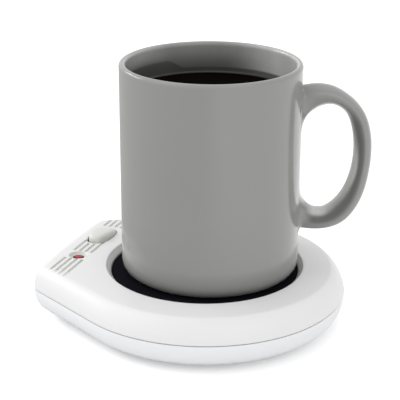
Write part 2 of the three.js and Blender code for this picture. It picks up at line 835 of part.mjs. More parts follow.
function tabHoles(bottom, top) {
  const radius = elementTabWidth / 2 + seatGap * 2;
  return tabPlaces().map(([x, y]) => cylinder(radius, bottom - cutOverrun, top + cutOverrun)
    .translate(x, y, 0));
}

// The dished steel plate that clamps the heater to the plate and the plate to the ledge.
function clampPlateGeometry() {
  const rimRadius = clampRimInnerRadius + clampRimWidth;
  const rimUnderside = clampRimTop - clampPlateThickness;
  const dish = revolve([
    [0, clampUnderside], [clampDishRadius, clampUnderside], [clampRimInnerRadius, rimUnderside],
    [rimRadius, rimUnderside], [rimRadius, clampRimTop], [clampRimInnerRadius, clampRimTop],
    [clampDishRadius, clampTop], [0, clampTop],
  ]);
  return shape(dish, {
    cut: [...studHoles(rimUnderside, clampTop), ...tabHoles(rimUnderside, clampTop)],
  });
}

function nutGeometry() {
  const cornerRadius = nutAcrossFlats / Math.sqrt(3);
  const bottom = nutTop - nutThickness;
  return shape(cylinder(cornerRadius, bottom, nutTop, nutSides), {
    cut: [cylinder(studRadius + seatGap, bottom - cutOverrun, nutTop + cutOverrun)],
  });
}

// The fuse lies along X under the clamp plate, in its sleeve.
const sleeveInnerRadius = fuseRadius + seatGap;
const sleeveOuterRadius = sleeveInnerRadius + sleeveWall;
const fuseAxisHeight = clampUnderside - seatGap - sleeveOuterRadius;

function thermalFuseGeometry() {
  const half = fuseLength / 2;
  const end = half + fuseTailLength;
  return revolve([
    [0, -end], [fuseTailRadius, -end], [fuseTailRadius, -half - fuseRadius / 2],
    [fuseRadius, -half], [fuseRadius, half], [fuseTailRadius, half + fuseRadius / 2],
    [fuseTailRadius, end], [0, end],
  ], smallRoundSteps).rotateY(Math.PI / 2).translate(0, 0, fuseAxisHeight);
}

function fuseSleeveGeometry() {
  const half = sleeveLength / 2;
  return washer(sleeveInnerRadius, sleeveOuterRadius, -half, half, smallRoundSteps)
    .rotateY(Math.PI / 2)
    .translate(0, 0, fuseAxisHeight);
}

// A strap bent over the sleeve, with a foot at each side that lies against the clamp plate.
function fuseClipGeometry() {
  const innerRadius = sleeveOuterRadius + seatGap;
  const outerRadius = innerRadius + clipThickness;
  const footTop = clampUnderside - seatGap - fuseAxisHeight;
  const outline = new THREE.Shape();
  outline.moveTo(-outerRadius - clipFootLength, footTop);
  outline.lineTo(-outerRadius - clipFootLength, footTop - clipThickness);
  outline.lineTo(-outerRadius, footTop - clipThickness);
  outline.lineTo(-outerRadius, 0);
  for (let i = 1; i <= smallRoundSteps; i += 1) {
    const angle = Math.PI + (i / smallRoundSteps) * Math.PI;
    outline.lineTo(outerRadius * Math.cos(angle), outerRadius * Math.sin(angle));
  }
  outline.lineTo(outerRadius, footTop - clipThickness);
  outline.lineTo(outerRadius + clipFootLength, footTop - clipThickness);
  outline.lineTo(outerRadius + clipFootLength, footTop);
  outline.lineTo(innerRadius, footTop);
  for (let i = 0; i <= smallRoundSteps; i += 1) {
    const angle = 2 * Math.PI - (i / smallRoundSteps) * Math.PI;
    outline.lineTo(innerRadius * Math.cos(angle), innerRadius * Math.sin(angle));
  }
  outline.lineTo(-innerRadius, footTop);
  return new THREE.ExtrudeGeometry(outline, { depth: clipWidth, bevelEnabled: false })
    .translate(0, 0, -clipWidth / 2)
    .rotateX(Math.PI / 2)
    .rotateZ(Math.PI / 2)
    .translate(0, 0, fuseAxisHeight);
}

// The switch is drawn about its own centre, with heights from the base's underside.
const skirtBottom = pivotHeight - rockerSkirtDepth;
const stemBottom = skirtBottom - rockerStemLength;
const plungerTip = pivotHeight - plungerReach;
const armTop = plungerTip - plungerClearance;
const armAxisHeight = armTop - contactArmThickness / 2;
const switchTop = shoulderHeight - shellWall - switchRimDrop;
const switchFloorTop = switchBottomHeight + switchFloor;
const plungerBoreTop = pivotHeight - pivotPinRadius - seatGap - clipThickness;
const switchCavityHalfWidth = rockerHalfWidth + rockerSideGap;
const switchCavityHalfLength = rockerHalfLength + rockerEndGap / 2;
const contactPadY = -(contactArmLength / 2 - contactPadLength / 4);

// The button: an oval cap with a domed top that falls away to both ends, and the stem below it that
// holds the plunger. It is drawn level and is tilted where it is placed.
function rockerButtonGeometry() {
  const points = ovalPoints(rockerHalfWidth, rockerHalfLength, ovalSteps);
  const levelRing = (scale, height) => points.map((p) => new THREE.Vector3(
    p.x * scale, p.y * scale, height,
  ));
  const domeRing = (scale, crownShare) => points.map((p) => new THREE.Vector3(
    p.x * scale,
    p.y * scale,
    rockerEdgeHeight + crownShare * rockerCrown
      - ((p.y * scale) / rockerHalfLength) ** 2 * rockerEndDrop,
  ));
  const cap = loft([
    levelRing(rockerSkirtShare, skirtBottom),
    levelRing(1, pivotHeight),
    ...rockerDomeShares.map(([scale, crownShare]) => domeRing(scale, crownShare)),
  ]);
  const stem = block(rockerStemSize, rockerStemSize, stemBottom, pivotHeight);
  const bore = cylinder(plungerBoreRadius, stemBottom - cutOverrun, plungerBoreTop);
  const pinHole = new THREE.CylinderGeometry(
    pivotPinRadius + seatGap, pivotPinRadius + seatGap,
    2 * (rockerHalfWidth + cutOverrun), smallRoundSteps,
  ).rotateZ(Math.PI / 2).translate(0, 0, pivotHeight);
  return shape(cap, { add: [stem], cut: [bore, pinHole] });
}

function pivotPinGeometry() {
  const length = 2 * (switchCavityHalfWidth + switchWall * pivotPinSeatShare);
  return new THREE.CylinderGeometry(pivotPinRadius, pivotPinRadius, length, smallRoundSteps)
    .rotateZ(Math.PI / 2)
    .translate(0, 0, pivotHeight);
}

function plungerGeometry() {
  const shoulder = plungerTip + plungerRadius;
  const dome = cornerCurve(innerCurveSteps).map(({ inward, along }) => [
    plungerRadius * along,
    plungerTip + plungerRadius * inward,
  ]);
  const top = shoulder + plungerTailLength;
  return revolve([...dome, [plungerRadius, top], [0, top]], smallRoundSteps);
}

function plungerSpringGeometry() {
  const bottom = plungerTip + plungerRadius + plungerTailLength + seatGap + springWireRadius;
  const top = plungerBoreTop - seatGap - springWireRadius;
  const steps = springTurns * springTurnSteps;
  const route = Array.from({ length: steps + 1 }, (_, i) => {
    const angle = (i / springTurnSteps) * 2 * Math.PI;
    return new THREE.Vector3(
      springCoilRadius * Math.cos(angle),
      springCoilRadius * Math.sin(angle),
      THREE.MathUtils.lerp(bottom, top, i / steps),
    );
  });
  const centre = (i) => route[Math.min(Math.max(i, 0), steps)];
  const rings = route.map((point, i) => {
    const forward = centre(i + 1).clone().sub(centre(i - 1)).normalize();
    const outward = new THREE.Vector3(point.x, point.y, 0).normalize();
    const side = forward.clone().cross(outward).normalize();
    return Array.from({ length: springWireSides }, (_, k) => {
      const angle = (k / springWireSides) * 2 * Math.PI;
      return point.clone()
        .addScaledVector(outward, springWireRadius * Math.cos(angle))
        .addScaledVector(side, springWireRadius * Math.sin(angle));
    });
  });
  return loft(rings);
}

// The switch body: an open box with slots in its floor for the two terminals.
function switchBodyGeometry() {
  const outerWidth = 2 * (switchCavityHalfWidth + switchWall);
  const outerLength = 2 * (switchCavityHalfLength + switchWall);
  const box = block(outerWidth, outerLength, switchBottomHeight, switchTop);
  const cavity = block(
    2 * switchCavityHalfWidth, 2 * switchCavityHalfLength, switchFloorTop, switchTop + cutOverrun,
  );
  const pinHole = new THREE.CylinderGeometry(
    pivotPinRadius + seatGap, pivotPinRadius + seatGap, outerWidth + cutOverrun, smallRoundSteps,
  ).rotateZ(Math.PI / 2).translate(0, 0, pivotHeight);
  const slots = [0, contactPadY].map((y) => block(
    terminalWidth + 2 * seatGap, terminalThickness + 2 * seatGap,
    switchBottomHeight - cutOverrun, switchFloorTop + cutOverrun,
  ).translate(0, y, 0));
  return shape(box, { cut: [cavity, pinHole, ...slots] });
}

function contactArmGeometry() {
  const half = contactArmLength / 2;
  const bend = half * contactArmBendShare;
  const rise = contactArmThickness;
  const outline = new THREE.Shape();
  outline.moveTo(-half, rise / 2);
  outline.lineTo(-bend, -rise / 2);
  outline.lineTo(bend, -rise / 2);
  outline.lineTo(half, rise / 2);
  outline.lineTo(half, rise + rise / 2);
  outline.lineTo(bend, rise / 2);
  outline.lineTo(-bend, rise / 2);
  outline.lineTo(-half, rise + rise / 2);
  return new THREE.ExtrudeGeometry(outline, { depth: contactArmWidth, bevelEnabled: false })
    .translate(0, 0, -contactArmWidth / 2)
    .rotateX(Math.PI / 2)
    .rotateZ(Math.PI / 2);
}

// The middle terminal: its top edge is the fulcrum that the contact arm rocks on.
function commonTerminalGeometry() {
  const top = armTop - contactArmThickness - seatGap;
  return block(terminalWidth, terminalThickness, switchBottomHeight - terminalTail, top);
}

function lineTerminalGeometry() {
  const padBottom = switchFloorTop + seatGap;
  const pad = block(terminalWidth, contactPadLength, padBottom, padBottom + contactPadThickness);
  const tail = block(
    terminalWidth,
    terminalThickness,
    switchBottomHeight - terminalTail,
    padBottom + contactPadThickness / 2,
  );
  return shape(pad, { add: [tail] }).translate(0, contactPadY, 0);
}

// The pilot lamp's parts are drawn about the lamp's own axis.
const lampPanelTop = panelHeightAt(-lampCentreX);
const lensFlangeTop = lampPanelTop - shellWall - seatGap;
const lensFlangeBottom = lensFlangeTop - lensFlangeThickness;
const lampHolderTop = lensFlangeBottom - seatGap;
const lampHolderBottom = lampHolderTop - lampHolderLength;
const neonTop = lampHolderTop - seatGap;
const neonBottom = neonTop - neonLength;

function lampLensGeometry() {
  const rimHeight = lampPanelTop - lampRecessDepth + lensRise / 2;
  const dome = cornerCurve(lensCurveSteps).map(({ inward, along }) => [
    lensRadius * (1 - inward),
    rimHeight + lensRise * along,
  ]);
  return revolve([
    [0, lensFlangeBottom], [lensFlangeRadius, lensFlangeBottom], [lensFlangeRadius, lensFlangeTop],
    [lensRadius, lensFlangeTop], ...dome,
  ], mediumRoundSteps);
}

function lampHolderGeometry() {
  return washer(
    lensFlangeRadius - lampHolderWall, lensFlangeRadius, lampHolderBottom, lampHolderTop, mediumRoundSteps,
  );
}

function neonLampGeometry() {
  const glass = revolve([
    [0, neonBottom], [neonRadius, neonBottom], [neonRadius, neonTop - neonRadius / 2],
    [neonRadius * neonTipRadiusShare, neonTop - neonRadius * neonTipDropShare], [0, neonTop],
  ], smallRoundSteps);
  const pins = [-1, 1].map((side) => cylinder(
    neonPinRadius, neonBottom - neonPinLength, neonBottom + neonPinLength / 2, pinSides,
  ).translate(side * neonPinSpacing / 2, 0, 0));
  return shape(glass, { add: pins });
}

// The resistor lies on its side between the lamp and the switch, in the lead of one pin.
const leadRunHeight = shellFloorTop + leadLift;
const neonPinEnd = neonBottom - neonPinLength;
const resistorX = -neonPinSpacing / 2;
const resistorStart = leadBend + seatGap;
const resistorRun = switchCentreY + contactPadY - lampCentreY;
const resistorLength = resistorRun * resistorLengthShare;

function lampResistorGeometry() {
  const end = resistorRadius * resistorEndShare;
  return revolve([
    [0, 0], [end, 0], [resistorRadius, end], [resistorRadius, resistorLength - end],
    [end, resistorLength], [0, resistorLength],
  ], smallRoundSteps).rotateX(-Math.PI / 2).translate(resistorX, resistorStart, leadRunHeight);
}

// The rubber bush: a neck in the notch of both shells, with a flange on each side of the wall.
const bushOuterFace = baseRadius + seatGap;
const bushInnerFace = bushOuterFace - bushNeckLength;
const bushInnerEnd = bushInnerFace - bushFlangeThickness;

function cordBushGeometry() {
  return revolve([
    [bushBoreRadius, bushInnerEnd], [bushFlangeRadius, bushInnerEnd], [bushFlangeRadius, bushInnerFace],
    [bushNeckRadius, bushInnerFace], [bushNeckRadius, bushOuterFace], [bushFlangeRadius, bushOuterFace],
    [bushFlangeRadius - bushFlangeThickness / 2, bushOuterFace + bushFlangeThickness],
    [bushBoreRadius, bushOuterFace + bushFlangeThickness], [bushBoreRadius, bushInnerEnd],
  ], mediumRoundSteps).rotateX(-Math.PI / 2).translate(0, 0, partingHeight);
}

function housingScrewGeometry() {
  const headTop = screwRecessDepth - seatGap;
  const headBottom = headTop - screwHeadThickness;
  const tip = headTop + screwLength;
  const body = revolve([
    [0, headBottom], [screwHeadRadius * screwHeadTaperShare, headBottom],
    [screwHeadRadius, headBottom + screwSlotDepth / 2],
    [screwHeadRadius, headTop], [screwShankRadius, headTop],
    [screwShankRadius, tip - screwShankRadius], [0, tip],
  ], smallRoundSteps);
  const slots = [0, Math.PI / 2].map((turn) => block(
    screwHeadRadius * screwSlotLengthShare,
    screwSlotWidth,
    headBottom - cutOverrun,
    headBottom + screwSlotDepth,
  ).rotateZ(turn));
  return shape(body, { cut: slots });
}

function rubberFootGeometry() {
  const top = footRecessDepth - seatGap;
  return revolve([
    [0, -footHeight], [footRadius - footEdgeRounding * 2, -footHeight],
    [footRadius - footEdgeRounding, -footHeight + footEdgeRounding],
    [footRadius, 0], [footRadius, top], [0, top],
  ], mediumRoundSteps);
}

// Points along an arc about a centre in the mug's profile, between two angles in degrees.
function profileArc([centreRadius, centreHeight], radius, [from, to], steps) {
  return stepShares(steps).map((share) => {
    const angle = THREE.MathUtils.degToRad(THREE.MathUtils.lerp(from, to, share));
    return [centreRadius + radius * Math.cos(angle), centreHeight + radius * Math.sin(angle)];
  });
}

const mugRimRadius = mugRimWall / 2;
const mugRimCentre = [mugRadius - mugRimRadius, mugHeight - mugRimRadius];

// The mug before it is hollowed: a foot ring, a rounded foot, a straight side and the rim's outer edge.
function mugBlankGeometry() {
  const outerFoot = mugRadius - mugFootRounding;
  const ringInner = outerFoot - footRingWidth;
  return revolve([
    [0, footRingDepth],
    [ringInner - footRingDepth, footRingDepth],
    [ringInner, 0],
    ...profileArc([outerFoot, mugFootRounding], mugFootRounding, [-90, 0], curveSteps),
    ...profileArc(mugRimCentre, mugRimRadius, [0, 90], innerCurveSteps),
    [0, mugHeight],
  ], roundSteps);
}

// The mug's hollow, flared at the top to round the rim's inner edge.
function mugHollowGeometry() {
  const cornerRadius = mugRadius - mugFootWall - mugInnerRounding;
  const cornerHeight = mugFloor + mugInnerRounding;
  return revolve([
    [0, mugFloor],
    ...profileArc([cornerRadius, cornerHeight], mugInnerRounding, [-90, 0], curveSteps),
    ...profileArc(mugRimCentre, mugRimRadius, [180, 90], innerCurveSteps),
    [mugRimCentre[0], mugHeight + cutOverrun],
    [0, mugHeight + cutOverrun],
  ], roundSteps);
}

// The handle: rounded sections set square to a smooth path that leaves the wall near the rim, swings
// out and comes back near the foot, thicker where it meets the wall.
function handleGeometry() {
  const rootRadius = mugRadius - mugRimWall / 2;
  const path = new THREE.CatmullRomCurve3(handleShares.map(([reach, height]) => new THREE.Vector3(
    Math.max(mugRadius + reach * handleReach, rootRadius), 0, height * mugHeight,
  )), false, 'centripetal');
  const sizeAt = (share, column) => {
    const place = share * (handleShares.length - 1);
    const low = Math.min(Math.floor(place), handleShares.length - 2);
    return THREE.MathUtils.lerp(handleShares[low][column], handleShares[low + 1][column], place - low);
  };
  const rings = [];
  for (let i = 0; i <= handleStations; i += 1) {
    const share = i / handleStations;
    const centre = path.getPoint(share);
    const forward = path.getTangent(share);
    const outward = new THREE.Vector3(-forward.z, 0, forward.x);
    const halfThickness = (sizeAt(share, 2) * handleThickness) / 2;
    const halfWidth = (sizeAt(share, 3) * handleWidth) / 2;
    const ring = [];
    for (let k = 0; k < handleSectionSteps; k += 1) {
      const angle = (k / handleSectionSteps) * 2 * Math.PI;
      ring.push(centre.clone()
        .addScaledVector(outward, halfThickness * Math.cos(angle))
        .add(new THREE.Vector3(0, halfWidth * Math.sin(angle), 0)));
    }
    rings.push(ring);
  }
  return loft(rings);
}

function mugGeometry() {
  return shape(mugBlankGeometry(), { add: [handleGeometry()], cut: [mugHollowGeometry()] });
}

// Finishes
function finish(color, roughness, metalness = 0) {
  return new THREE.MeshStandardMaterial({ color, roughness, metalness });
}

const glazedGrey = finish('#969895', 0.22);
const whitePlastic = finish('#f1eff0', 0.3);
const whiteCover = finish('#e6e7e9', 0.34);
const rockerPlastic = finish('#e2e1dd', 0.36);
const darkPlate = finish('#242329', 0.45, 0.3);
const redLens = finish('#c53b4a', 0.2);
const siliconeRubber = finish('#8a2f24', 0.8);
const blackRubber = finish('#26262a', 0.85);
const micaSheet = finish('#b9a584', 0.6);
const resistanceAlloy = finish('#8d8378', 0.4, 0.9);
const plainSteel = finish('#a9abae', 0.35, 0.95);
const zincSteel = finish('#c3c3bf', 0.3, 0.95);
const blackPlastic = finish('#1f1f21', 0.5);
const brassMetal = finish('#b99a55', 0.35, 0.9);
const glassFibre = finish('#e8e4d8', 0.8);
const lampGlass = finish('#d9cfc8', 0.1);
const resistorPaint = finish('#b98d63', 0.5);
const blackWire = finish('#202022', 0.55);
const whiteWire = finish('#dfdedb', 0.55);
const greyWire = finish('#9a9a98', 0.55);
const nylon = finish('#cdbf9a', 0.5);

function piece(name, geometry, material) {
  const mesh = new THREE.Mesh(weld(geometry), material);
  mesh.geometry.computeVertexNormals();
  mesh.name = name;
  return mesh;
}

function place(group, x, y, z, ...members) {
  group.position.set(x, y, z);
  group.add(...members);
  return group;
}

// Shells, feet and screws
function shellPieces() {
  const group = new THREE.Group();
  group.add(
    piece('top_housing', topHousingGeometry(), whitePlastic),
    piece('base_cover', baseCoverGeometry(), whiteCover),
    piece('cord_inlet_bush', cordBushGeometry(), blackRubber),
  );
  screwCentres.forEach(({ x, y }, i) => {
    const screw = piece(`housing_screw_${i + 1}`, housingScrewGeometry(), zincSteel);
    screw.position.set(x, y, 0);
    group.add(screw);
  });
  footCentres.forEach(({ x, y }, i) => {
    const foot = piece(`rubber_foot_${i + 1}`, rubberFootGeometry(), blackRubber);
    foot.position.set(x, y, 0);
    group.add(foot);
  });
  return group;
}

// The plate and everything clamped under it
function heaterPieces() {
  const group = new THREE.Group();
  const lowerMicaBottom = lowerMicaTop - micaThickness;
  group.add(
    piece('hot_plate', hotPlateGeometry(), darkPlate),
    piece('plate_seal', washer(
      sealOuterRadius - sealWidth, sealOuterRadius, sealTop - sealThickness, sealTop,
    ), siliconeRubber),
    piece('upper_mica_disc', micaDiscGeometry(upperMicaRadius, upperMicaTop), micaSheet),
    piece('heating_element', heatingElementGeometry(), resistanceAlloy),
    piece('lower_mica_disc', micaDiscGeometry(
      lowerMicaRadius, lowerMicaTop, tabHoles(lowerMicaBottom, lowerMicaTop),
    ), micaSheet),
    piece('clamp_plate', clampPlateGeometry(), plainSteel),
    piece('thermal_fuse', thermalFuseGeometry(), zincSteel),
    piece('fuse_sleeve', fuseSleeveGeometry(), glassFibre),
    piece('fuse_clip', fuseClipGeometry(), plainSteel),
  );
  for (let i = 0; i < studCount; i += 1) {
    const angle = Math.PI / 2 + (i / studCount) * 2 * Math.PI;
    const nut = piece(`plate_nut_${i + 1}`, nutGeometry(), zincSteel);
    nut.position.set(studCircleRadius * Math.cos(angle), studCircleRadius * Math.sin(angle), 0);
    group.add(nut);
  }
  return group;
}

// Parts that turn about the switch's axes are hung in groups whose origins are those axes.
function turnedAbout(height, angle, members) {
  const group = new THREE.Group();
  group.position.z = height;
  group.rotation.x = angle;
  for (const member of members) {
    member.position.z -= height;
    group.add(member);
  }
  return group;
}

function switchPieces() {
  const rocker = turnedAbout(pivotHeight, -rockerTilt, [
    piece('rocker_button', rockerButtonGeometry(), rockerPlastic),
    piece('switch_plunger', plungerGeometry(), nylon),
    piece('plunger_spring', plungerSpringGeometry(), plainSteel),
  ]);
  const arm = piece('contact_arm', contactArmGeometry(), brassMetal);
  arm.position.z = armAxisHeight;
  arm.rotation.x = rockerTilt;
  return place(
    new THREE.Group(), switchCentreX, switchCentreY, 0,
    rocker,
    arm,
    piece('rocker_pivot_pin', pivotPinGeometry(), plainSteel),
    piece('switch_body', switchBodyGeometry(), blackPlastic),
    piece('common_terminal', commonTerminalGeometry(), brassMetal),
    piece('line_terminal', lineTerminalGeometry(), brassMetal),
  );
}

function lampPieces() {
  return place(
    new THREE.Group(), lampCentreX, lampCentreY, 0,
    piece('lamp_lens', lampLensGeometry(), redLens),
    piece('lamp_holder', lampHolderGeometry(), blackPlastic),
    piece('neon_lamp', neonLampGeometry(), lampGlass),
    piece('lamp_resistor', lampResistorGeometry(), resistorPaint),
  );
}

// Leads inside the base. Each starts and ends against the piece that it joins.
function leadRoutes() {
  const at = (x, y, z) => new THREE.Vector3(x, y, z);
  const near = ([xShare, yShare], z = leadRunHeight) => at(xShare * baseRadius, yShare * baseRadius, z);
  const bushEnd = bushInnerEnd - seatGap;
  const bushSide = (bushBoreRadius + bushFlangeRadius) / 2;
  const terminalSide = terminalWidth / 2 + seatGap;
  const terminalX = switchCentreX + terminalSide;
  const lineY = switchCentreY + contactPadY;
  const lampLeadSwing = rockerHalfWidth * lampLeadSwingShare;
  const crossingHeight = leadRunHeight + leadLift / 2;
  const fuseEnd = fuseLength / 2 + fuseTailLength + seatGap;
  const [firstTab, lastTab] = tabPlaces();
  const tabEnd = nutTop - nutThickness - seatGap;
  const [spliceX, spliceY] = splicePlaceShares.map((share) => share * baseRadius);
  const spliceFront = spliceY - spliceLength / 2 - seatGap;
  const spliceBack = spliceY + spliceLength / 2 + seatGap;
  const spliceSide = spliceLeadSpacing / 2;
  const lampPinA = at(lampCentreX + resistorX, lampCentreY, neonPinEnd - seatGap);
  const lampPinB = at(lampCentreX - resistorX, lampCentreY, neonPinEnd - seatGap);
  const resistorFront = lampCentreY + resistorStart - seatGap;
  const resistorBack = lampCentreY + resistorStart + resistorLength + seatGap;
  return [
    { name: 'live_lead', radius: leadRadius, material: blackWire, route: [
      at(-bushSide, bushEnd, partingHeight), at(-bushSide, bushEnd - leadBend / 2, partingHeight),
      near(liveLeadShares[0], leadRunHeight + leadLift), near(liveLeadShares[1]),
      near(liveLeadShares[2]),
      at(terminalX + leadBend, lineY, leadRunHeight), at(terminalX, lineY, leadRunHeight),
    ] },
    { name: 'switched_lead', radius: leadRadius, material: blackWire, route: [
      at(terminalX, switchCentreY, crossingHeight), at(terminalX + leadBend, switchCentreY, crossingHeight),
      near(switchedLeadShares[0], leadRunHeight + leadLift),
      near(switchedLeadShares[1], fuseAxisHeight - leadBend),
      at(-fuseEnd - leadBend, 0, fuseAxisHeight), at(-fuseEnd, 0, fuseAxisHeight),
    ] },
    { name: 'fused_lead', radius: leadRadius, material: whiteWire, route: [
      at(fuseEnd, 0, fuseAxisHeight), at(fuseEnd + leadBend, 0, fuseAxisHeight),
      near(fusedLeadShares[0], fuseAxisHeight - leadLift),
      near(fusedLeadShares[1], tabEnd - leadBend * fusedLeadDropShare),
      at(firstTab[0], firstTab[1], tabEnd - leadBend), at(firstTab[0], firstTab[1], tabEnd),
    ] },
    { name: 'neutral_lead', radius: leadRadius, material: whiteWire, route: [
      at(bushSide, bushEnd, partingHeight), at(bushSide, bushEnd - leadBend / 2, partingHeight),
      at(spliceX, spliceBack + leadBend, leadRunHeight), at(spliceX, spliceBack, leadRunHeight),
    ] },
    { name: 'heater_return_lead', radius: leadRadius, material: whiteWire, route: [
      at(spliceX - spliceSide, spliceFront, leadRunHeight),
      at(spliceX - spliceSide, spliceFront - leadBend, leadRunHeight),
      at(lastTab[0], lastTab[1], tabEnd - leadBend), at(lastTab[0], lastTab[1], tabEnd),
    ] },
    { name: 'lamp_resistor_lead', radius: lampLeadRadius, material: greyWire, route: [
      lampPinA, at(lampPinA.x, lampPinA.y + leadBend / 8, lampPinA.z - leadBend / 3),
      at(lampPinA.x, resistorFront - leadBend / 2, leadRunHeight),
      at(lampPinA.x, resistorFront, leadRunHeight),
    ] },
    { name: 'lamp_switch_lead', radius: lampLeadRadius, material: greyWire, route: [
      at(lampPinA.x, resistorBack, leadRunHeight),
      at(lampPinA.x, resistorBack + leadBend / 2, leadRunHeight),
      at(switchCentreX - terminalSide - lampLeadSwing, lineY, leadRunHeight),
      at(switchCentreX - terminalSide - lampLeadSwing, switchCentreY - leadBend / 2, leadRunHeight),
      at(switchCentreX - terminalSide, switchCentreY, leadRunHeight),
    ] },
    { name: 'lamp_return_lead', radius: lampLeadRadius, material: greyWire, route: [
      lampPinB, at(lampPinB.x, lampPinB.y, lampPinB.z - leadBend / 3),
      at(lampPinB.x + leadBend, lampPinB.y, leadRunHeight + leadLift / 3),
      ...lampReturnShares.map((place) => near(place)),
      at(spliceX + spliceSide, spliceFront - leadBend, leadRunHeight),
      at(spliceX + spliceSide, spliceFront, leadRunHeight),
    ] },
  ];
}

function wiringPieces() {
  const group = new THREE.Group();
  for (const { name, radius, material, route } of leadRoutes()) {
    group.add(piece(name, tube(route, radius), material));
  }
  const splice = cylinder(spliceRadius, -spliceLength / 2, spliceLength / 2).rotateX(Math.PI / 2);
  const [spliceX, spliceY] = splicePlaceShares.map((share) => share * baseRadius);
  group.add(piece('neutral_splice', splice.translate(spliceX, spliceY, leadRunHeight), nylon));
  return group;
}

function mugPieces() {
  const group = new THREE.Group();
  group.rotation.z = THREE.MathUtils.degToRad(handleDegrees);
  return place(
    group, mugOffsetX, mugOffsetY, mugFootHeight,
    piece('mug', mugGeometry(), glazedGrey),
  );
}

const warmerAndMug = new THREE.Group();
warmerAndMug.add(
  shellPieces(), heaterPieces(), switchPieces(), lampPieces(), wiringPieces(), mugPieces(),
);

export default warmerAndMug;
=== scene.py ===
"""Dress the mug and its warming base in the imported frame, for one still picture."""
import json
import logging
import math
from collections.abc import Iterable, Sequence
from dataclasses import dataclass
from enum import Enum
from functools import cache

import bmesh
import bpy
from mathutils import Matrix, Vector


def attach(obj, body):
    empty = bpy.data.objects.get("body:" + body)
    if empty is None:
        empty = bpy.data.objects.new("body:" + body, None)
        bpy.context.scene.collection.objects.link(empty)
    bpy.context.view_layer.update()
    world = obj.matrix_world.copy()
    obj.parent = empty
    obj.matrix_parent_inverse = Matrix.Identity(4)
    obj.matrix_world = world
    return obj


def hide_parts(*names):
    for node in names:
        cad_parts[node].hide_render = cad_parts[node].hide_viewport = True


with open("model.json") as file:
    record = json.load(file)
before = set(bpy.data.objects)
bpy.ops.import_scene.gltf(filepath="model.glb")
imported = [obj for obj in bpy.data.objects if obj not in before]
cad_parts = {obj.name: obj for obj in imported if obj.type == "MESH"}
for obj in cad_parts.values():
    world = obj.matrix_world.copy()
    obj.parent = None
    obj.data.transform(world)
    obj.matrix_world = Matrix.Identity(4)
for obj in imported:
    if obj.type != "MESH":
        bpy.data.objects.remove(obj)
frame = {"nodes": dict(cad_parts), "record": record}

LOG = logging.getLogger("mug_warmer")
MM = 0.001
CREASE = 32.0
QUARTER = math.pi / 2
Flat = tuple[float, float]
Point = tuple[float, float, float]
Colour = tuple[float, float, float, float]
Arc = tuple[Flat, float, float, float, int]
Piece = bpy.types.Object
Socket = bpy.types.NodeSocket
Tree = bpy.types.NodeTree


class Body(Enum):
    """The bodies that a new piece can ride on."""

    BASE = "base"
    MUG = "mug"
    ROCKER = "rocker"


class Ends(Enum):
    """How a row of rings ends: in flat caps, in points on the axis, or in each other."""

    CAPS = "caps"
    POLES = "poles"
    JOINED = "joined"


class Kind(Enum):
    """The kinds of node tree."""

    SHADER = "ShaderNodeTree"
    GEOMETRY = "GeometryNodeTree"


class Fade(Enum):
    """How a mask grows from nought to one."""

    STRAIGHT = "LINEAR"
    SOFT = "SMOOTHSTEP"


# Outlines, in millimetres


def circle(radius: float, height: float, steps: int) -> list[Point]:
    """Give the points of a level circle about the upright axis."""
    turn = 2 * math.pi / steps
    return [(radius * math.cos(k * turn), radius * math.sin(k * turn), height) for k in range(steps)]


def arc(centre: Flat, radius: float, start: float, end: float, steps: int) -> list[Flat]:
    """Give the points of an arc, with both its ends, from one angle in degrees to another."""
    angles = [math.radians(start + (end - start) * i / steps) for i in range(steps + 1)]
    return [(centre[0] + radius * math.cos(a), centre[1] + radius * math.sin(a)) for a in angles]


def squared(angle: float, power: float) -> Flat:
    """Give a point of a unit circle that is drawn a little squarer."""
    return tuple(math.copysign(abs(v) ** (2 / power), v) for v in (math.cos(angle), math.sin(angle)))


def oval(half_width: float, half_length: float, steps: int, power: float = 2.3) -> list[Flat]:
    """Give the points of a full oval, a little squarer than an ellipse."""
    points = [squared(2 * math.pi * k / steps, power) for k in range(steps)]
    return [(x * half_width, y * half_length) for x, y in points]


def shifted(rows: Iterable[Flat], radius: float, height: float) -> list[Flat]:
    """Move the rows of a profile outwards and upwards."""
    return [(radius + r, height + z) for r, z in rows]


def between(first: Sequence[Point], last: Sequence[Point], share: float) -> list[Point]:
    """Give the ring that lies at a share of the way between two rings."""
    return [tuple(Vector(a).lerp(Vector(b), share)) for a, b in zip(first, last)]


# Meshes


def linked(name: str, data: bpy.types.ID) -> Piece:
    """Put a mesh, a camera or a lamp into the scene.

    Args:
        name: The object's name.
        data: What the object holds.

    Returns:
        The new object.
    """
    piece = bpy.data.objects.new(name, data)
    bpy.context.scene.collection.objects.link(piece)
    return piece


def raw_mesh(name: str, points: Iterable[Sequence[float]], edges: Sequence[Sequence[int]] = (),
             faces: Sequence[Sequence[int]] = ()) -> bpy.types.Mesh:
    """Make a mesh from points in millimetres.

    Args:
        name: The mesh's name.
        points: Its points.
        edges: Its edges as pairs of point numbers.
        faces: Its faces as rows of point numbers.

    Returns:
        The new mesh.
    """
    mesh = bpy.data.meshes.new(name)
    mesh.from_pydata([(x * MM, y * MM, z * MM) for x, y, z in points], edges, faces)
    return mesh


def clean(mesh: bpy.types.Mesh, reach: float) -> None:
    """Merge a mesh's doubles and turn its faces outward.

    Args:
        mesh: The mesh.
        reach: The distance in metres within which points merge.
    """
    work = bmesh.new()
    work.from_mesh(mesh)
    bmesh.ops.remove_doubles(work, verts=work.verts, dist=reach)
    bmesh.ops.recalc_face_normals(work, faces=work.faces)
    work.to_mesh(mesh)
    work.free()


def smooth(piece: Piece, crease: float) -> Piece:
    """Shade a piece smooth, with its sharp edges kept crisp.

    Args:
        piece: The piece.
        crease: The angle in degrees past which an edge stays crisp.

    Returns:
        The same piece.
    """
    piece.data.shade_smooth()
    piece.data.set_sharp_from_angle(angle=math.radians(crease))
    return piece


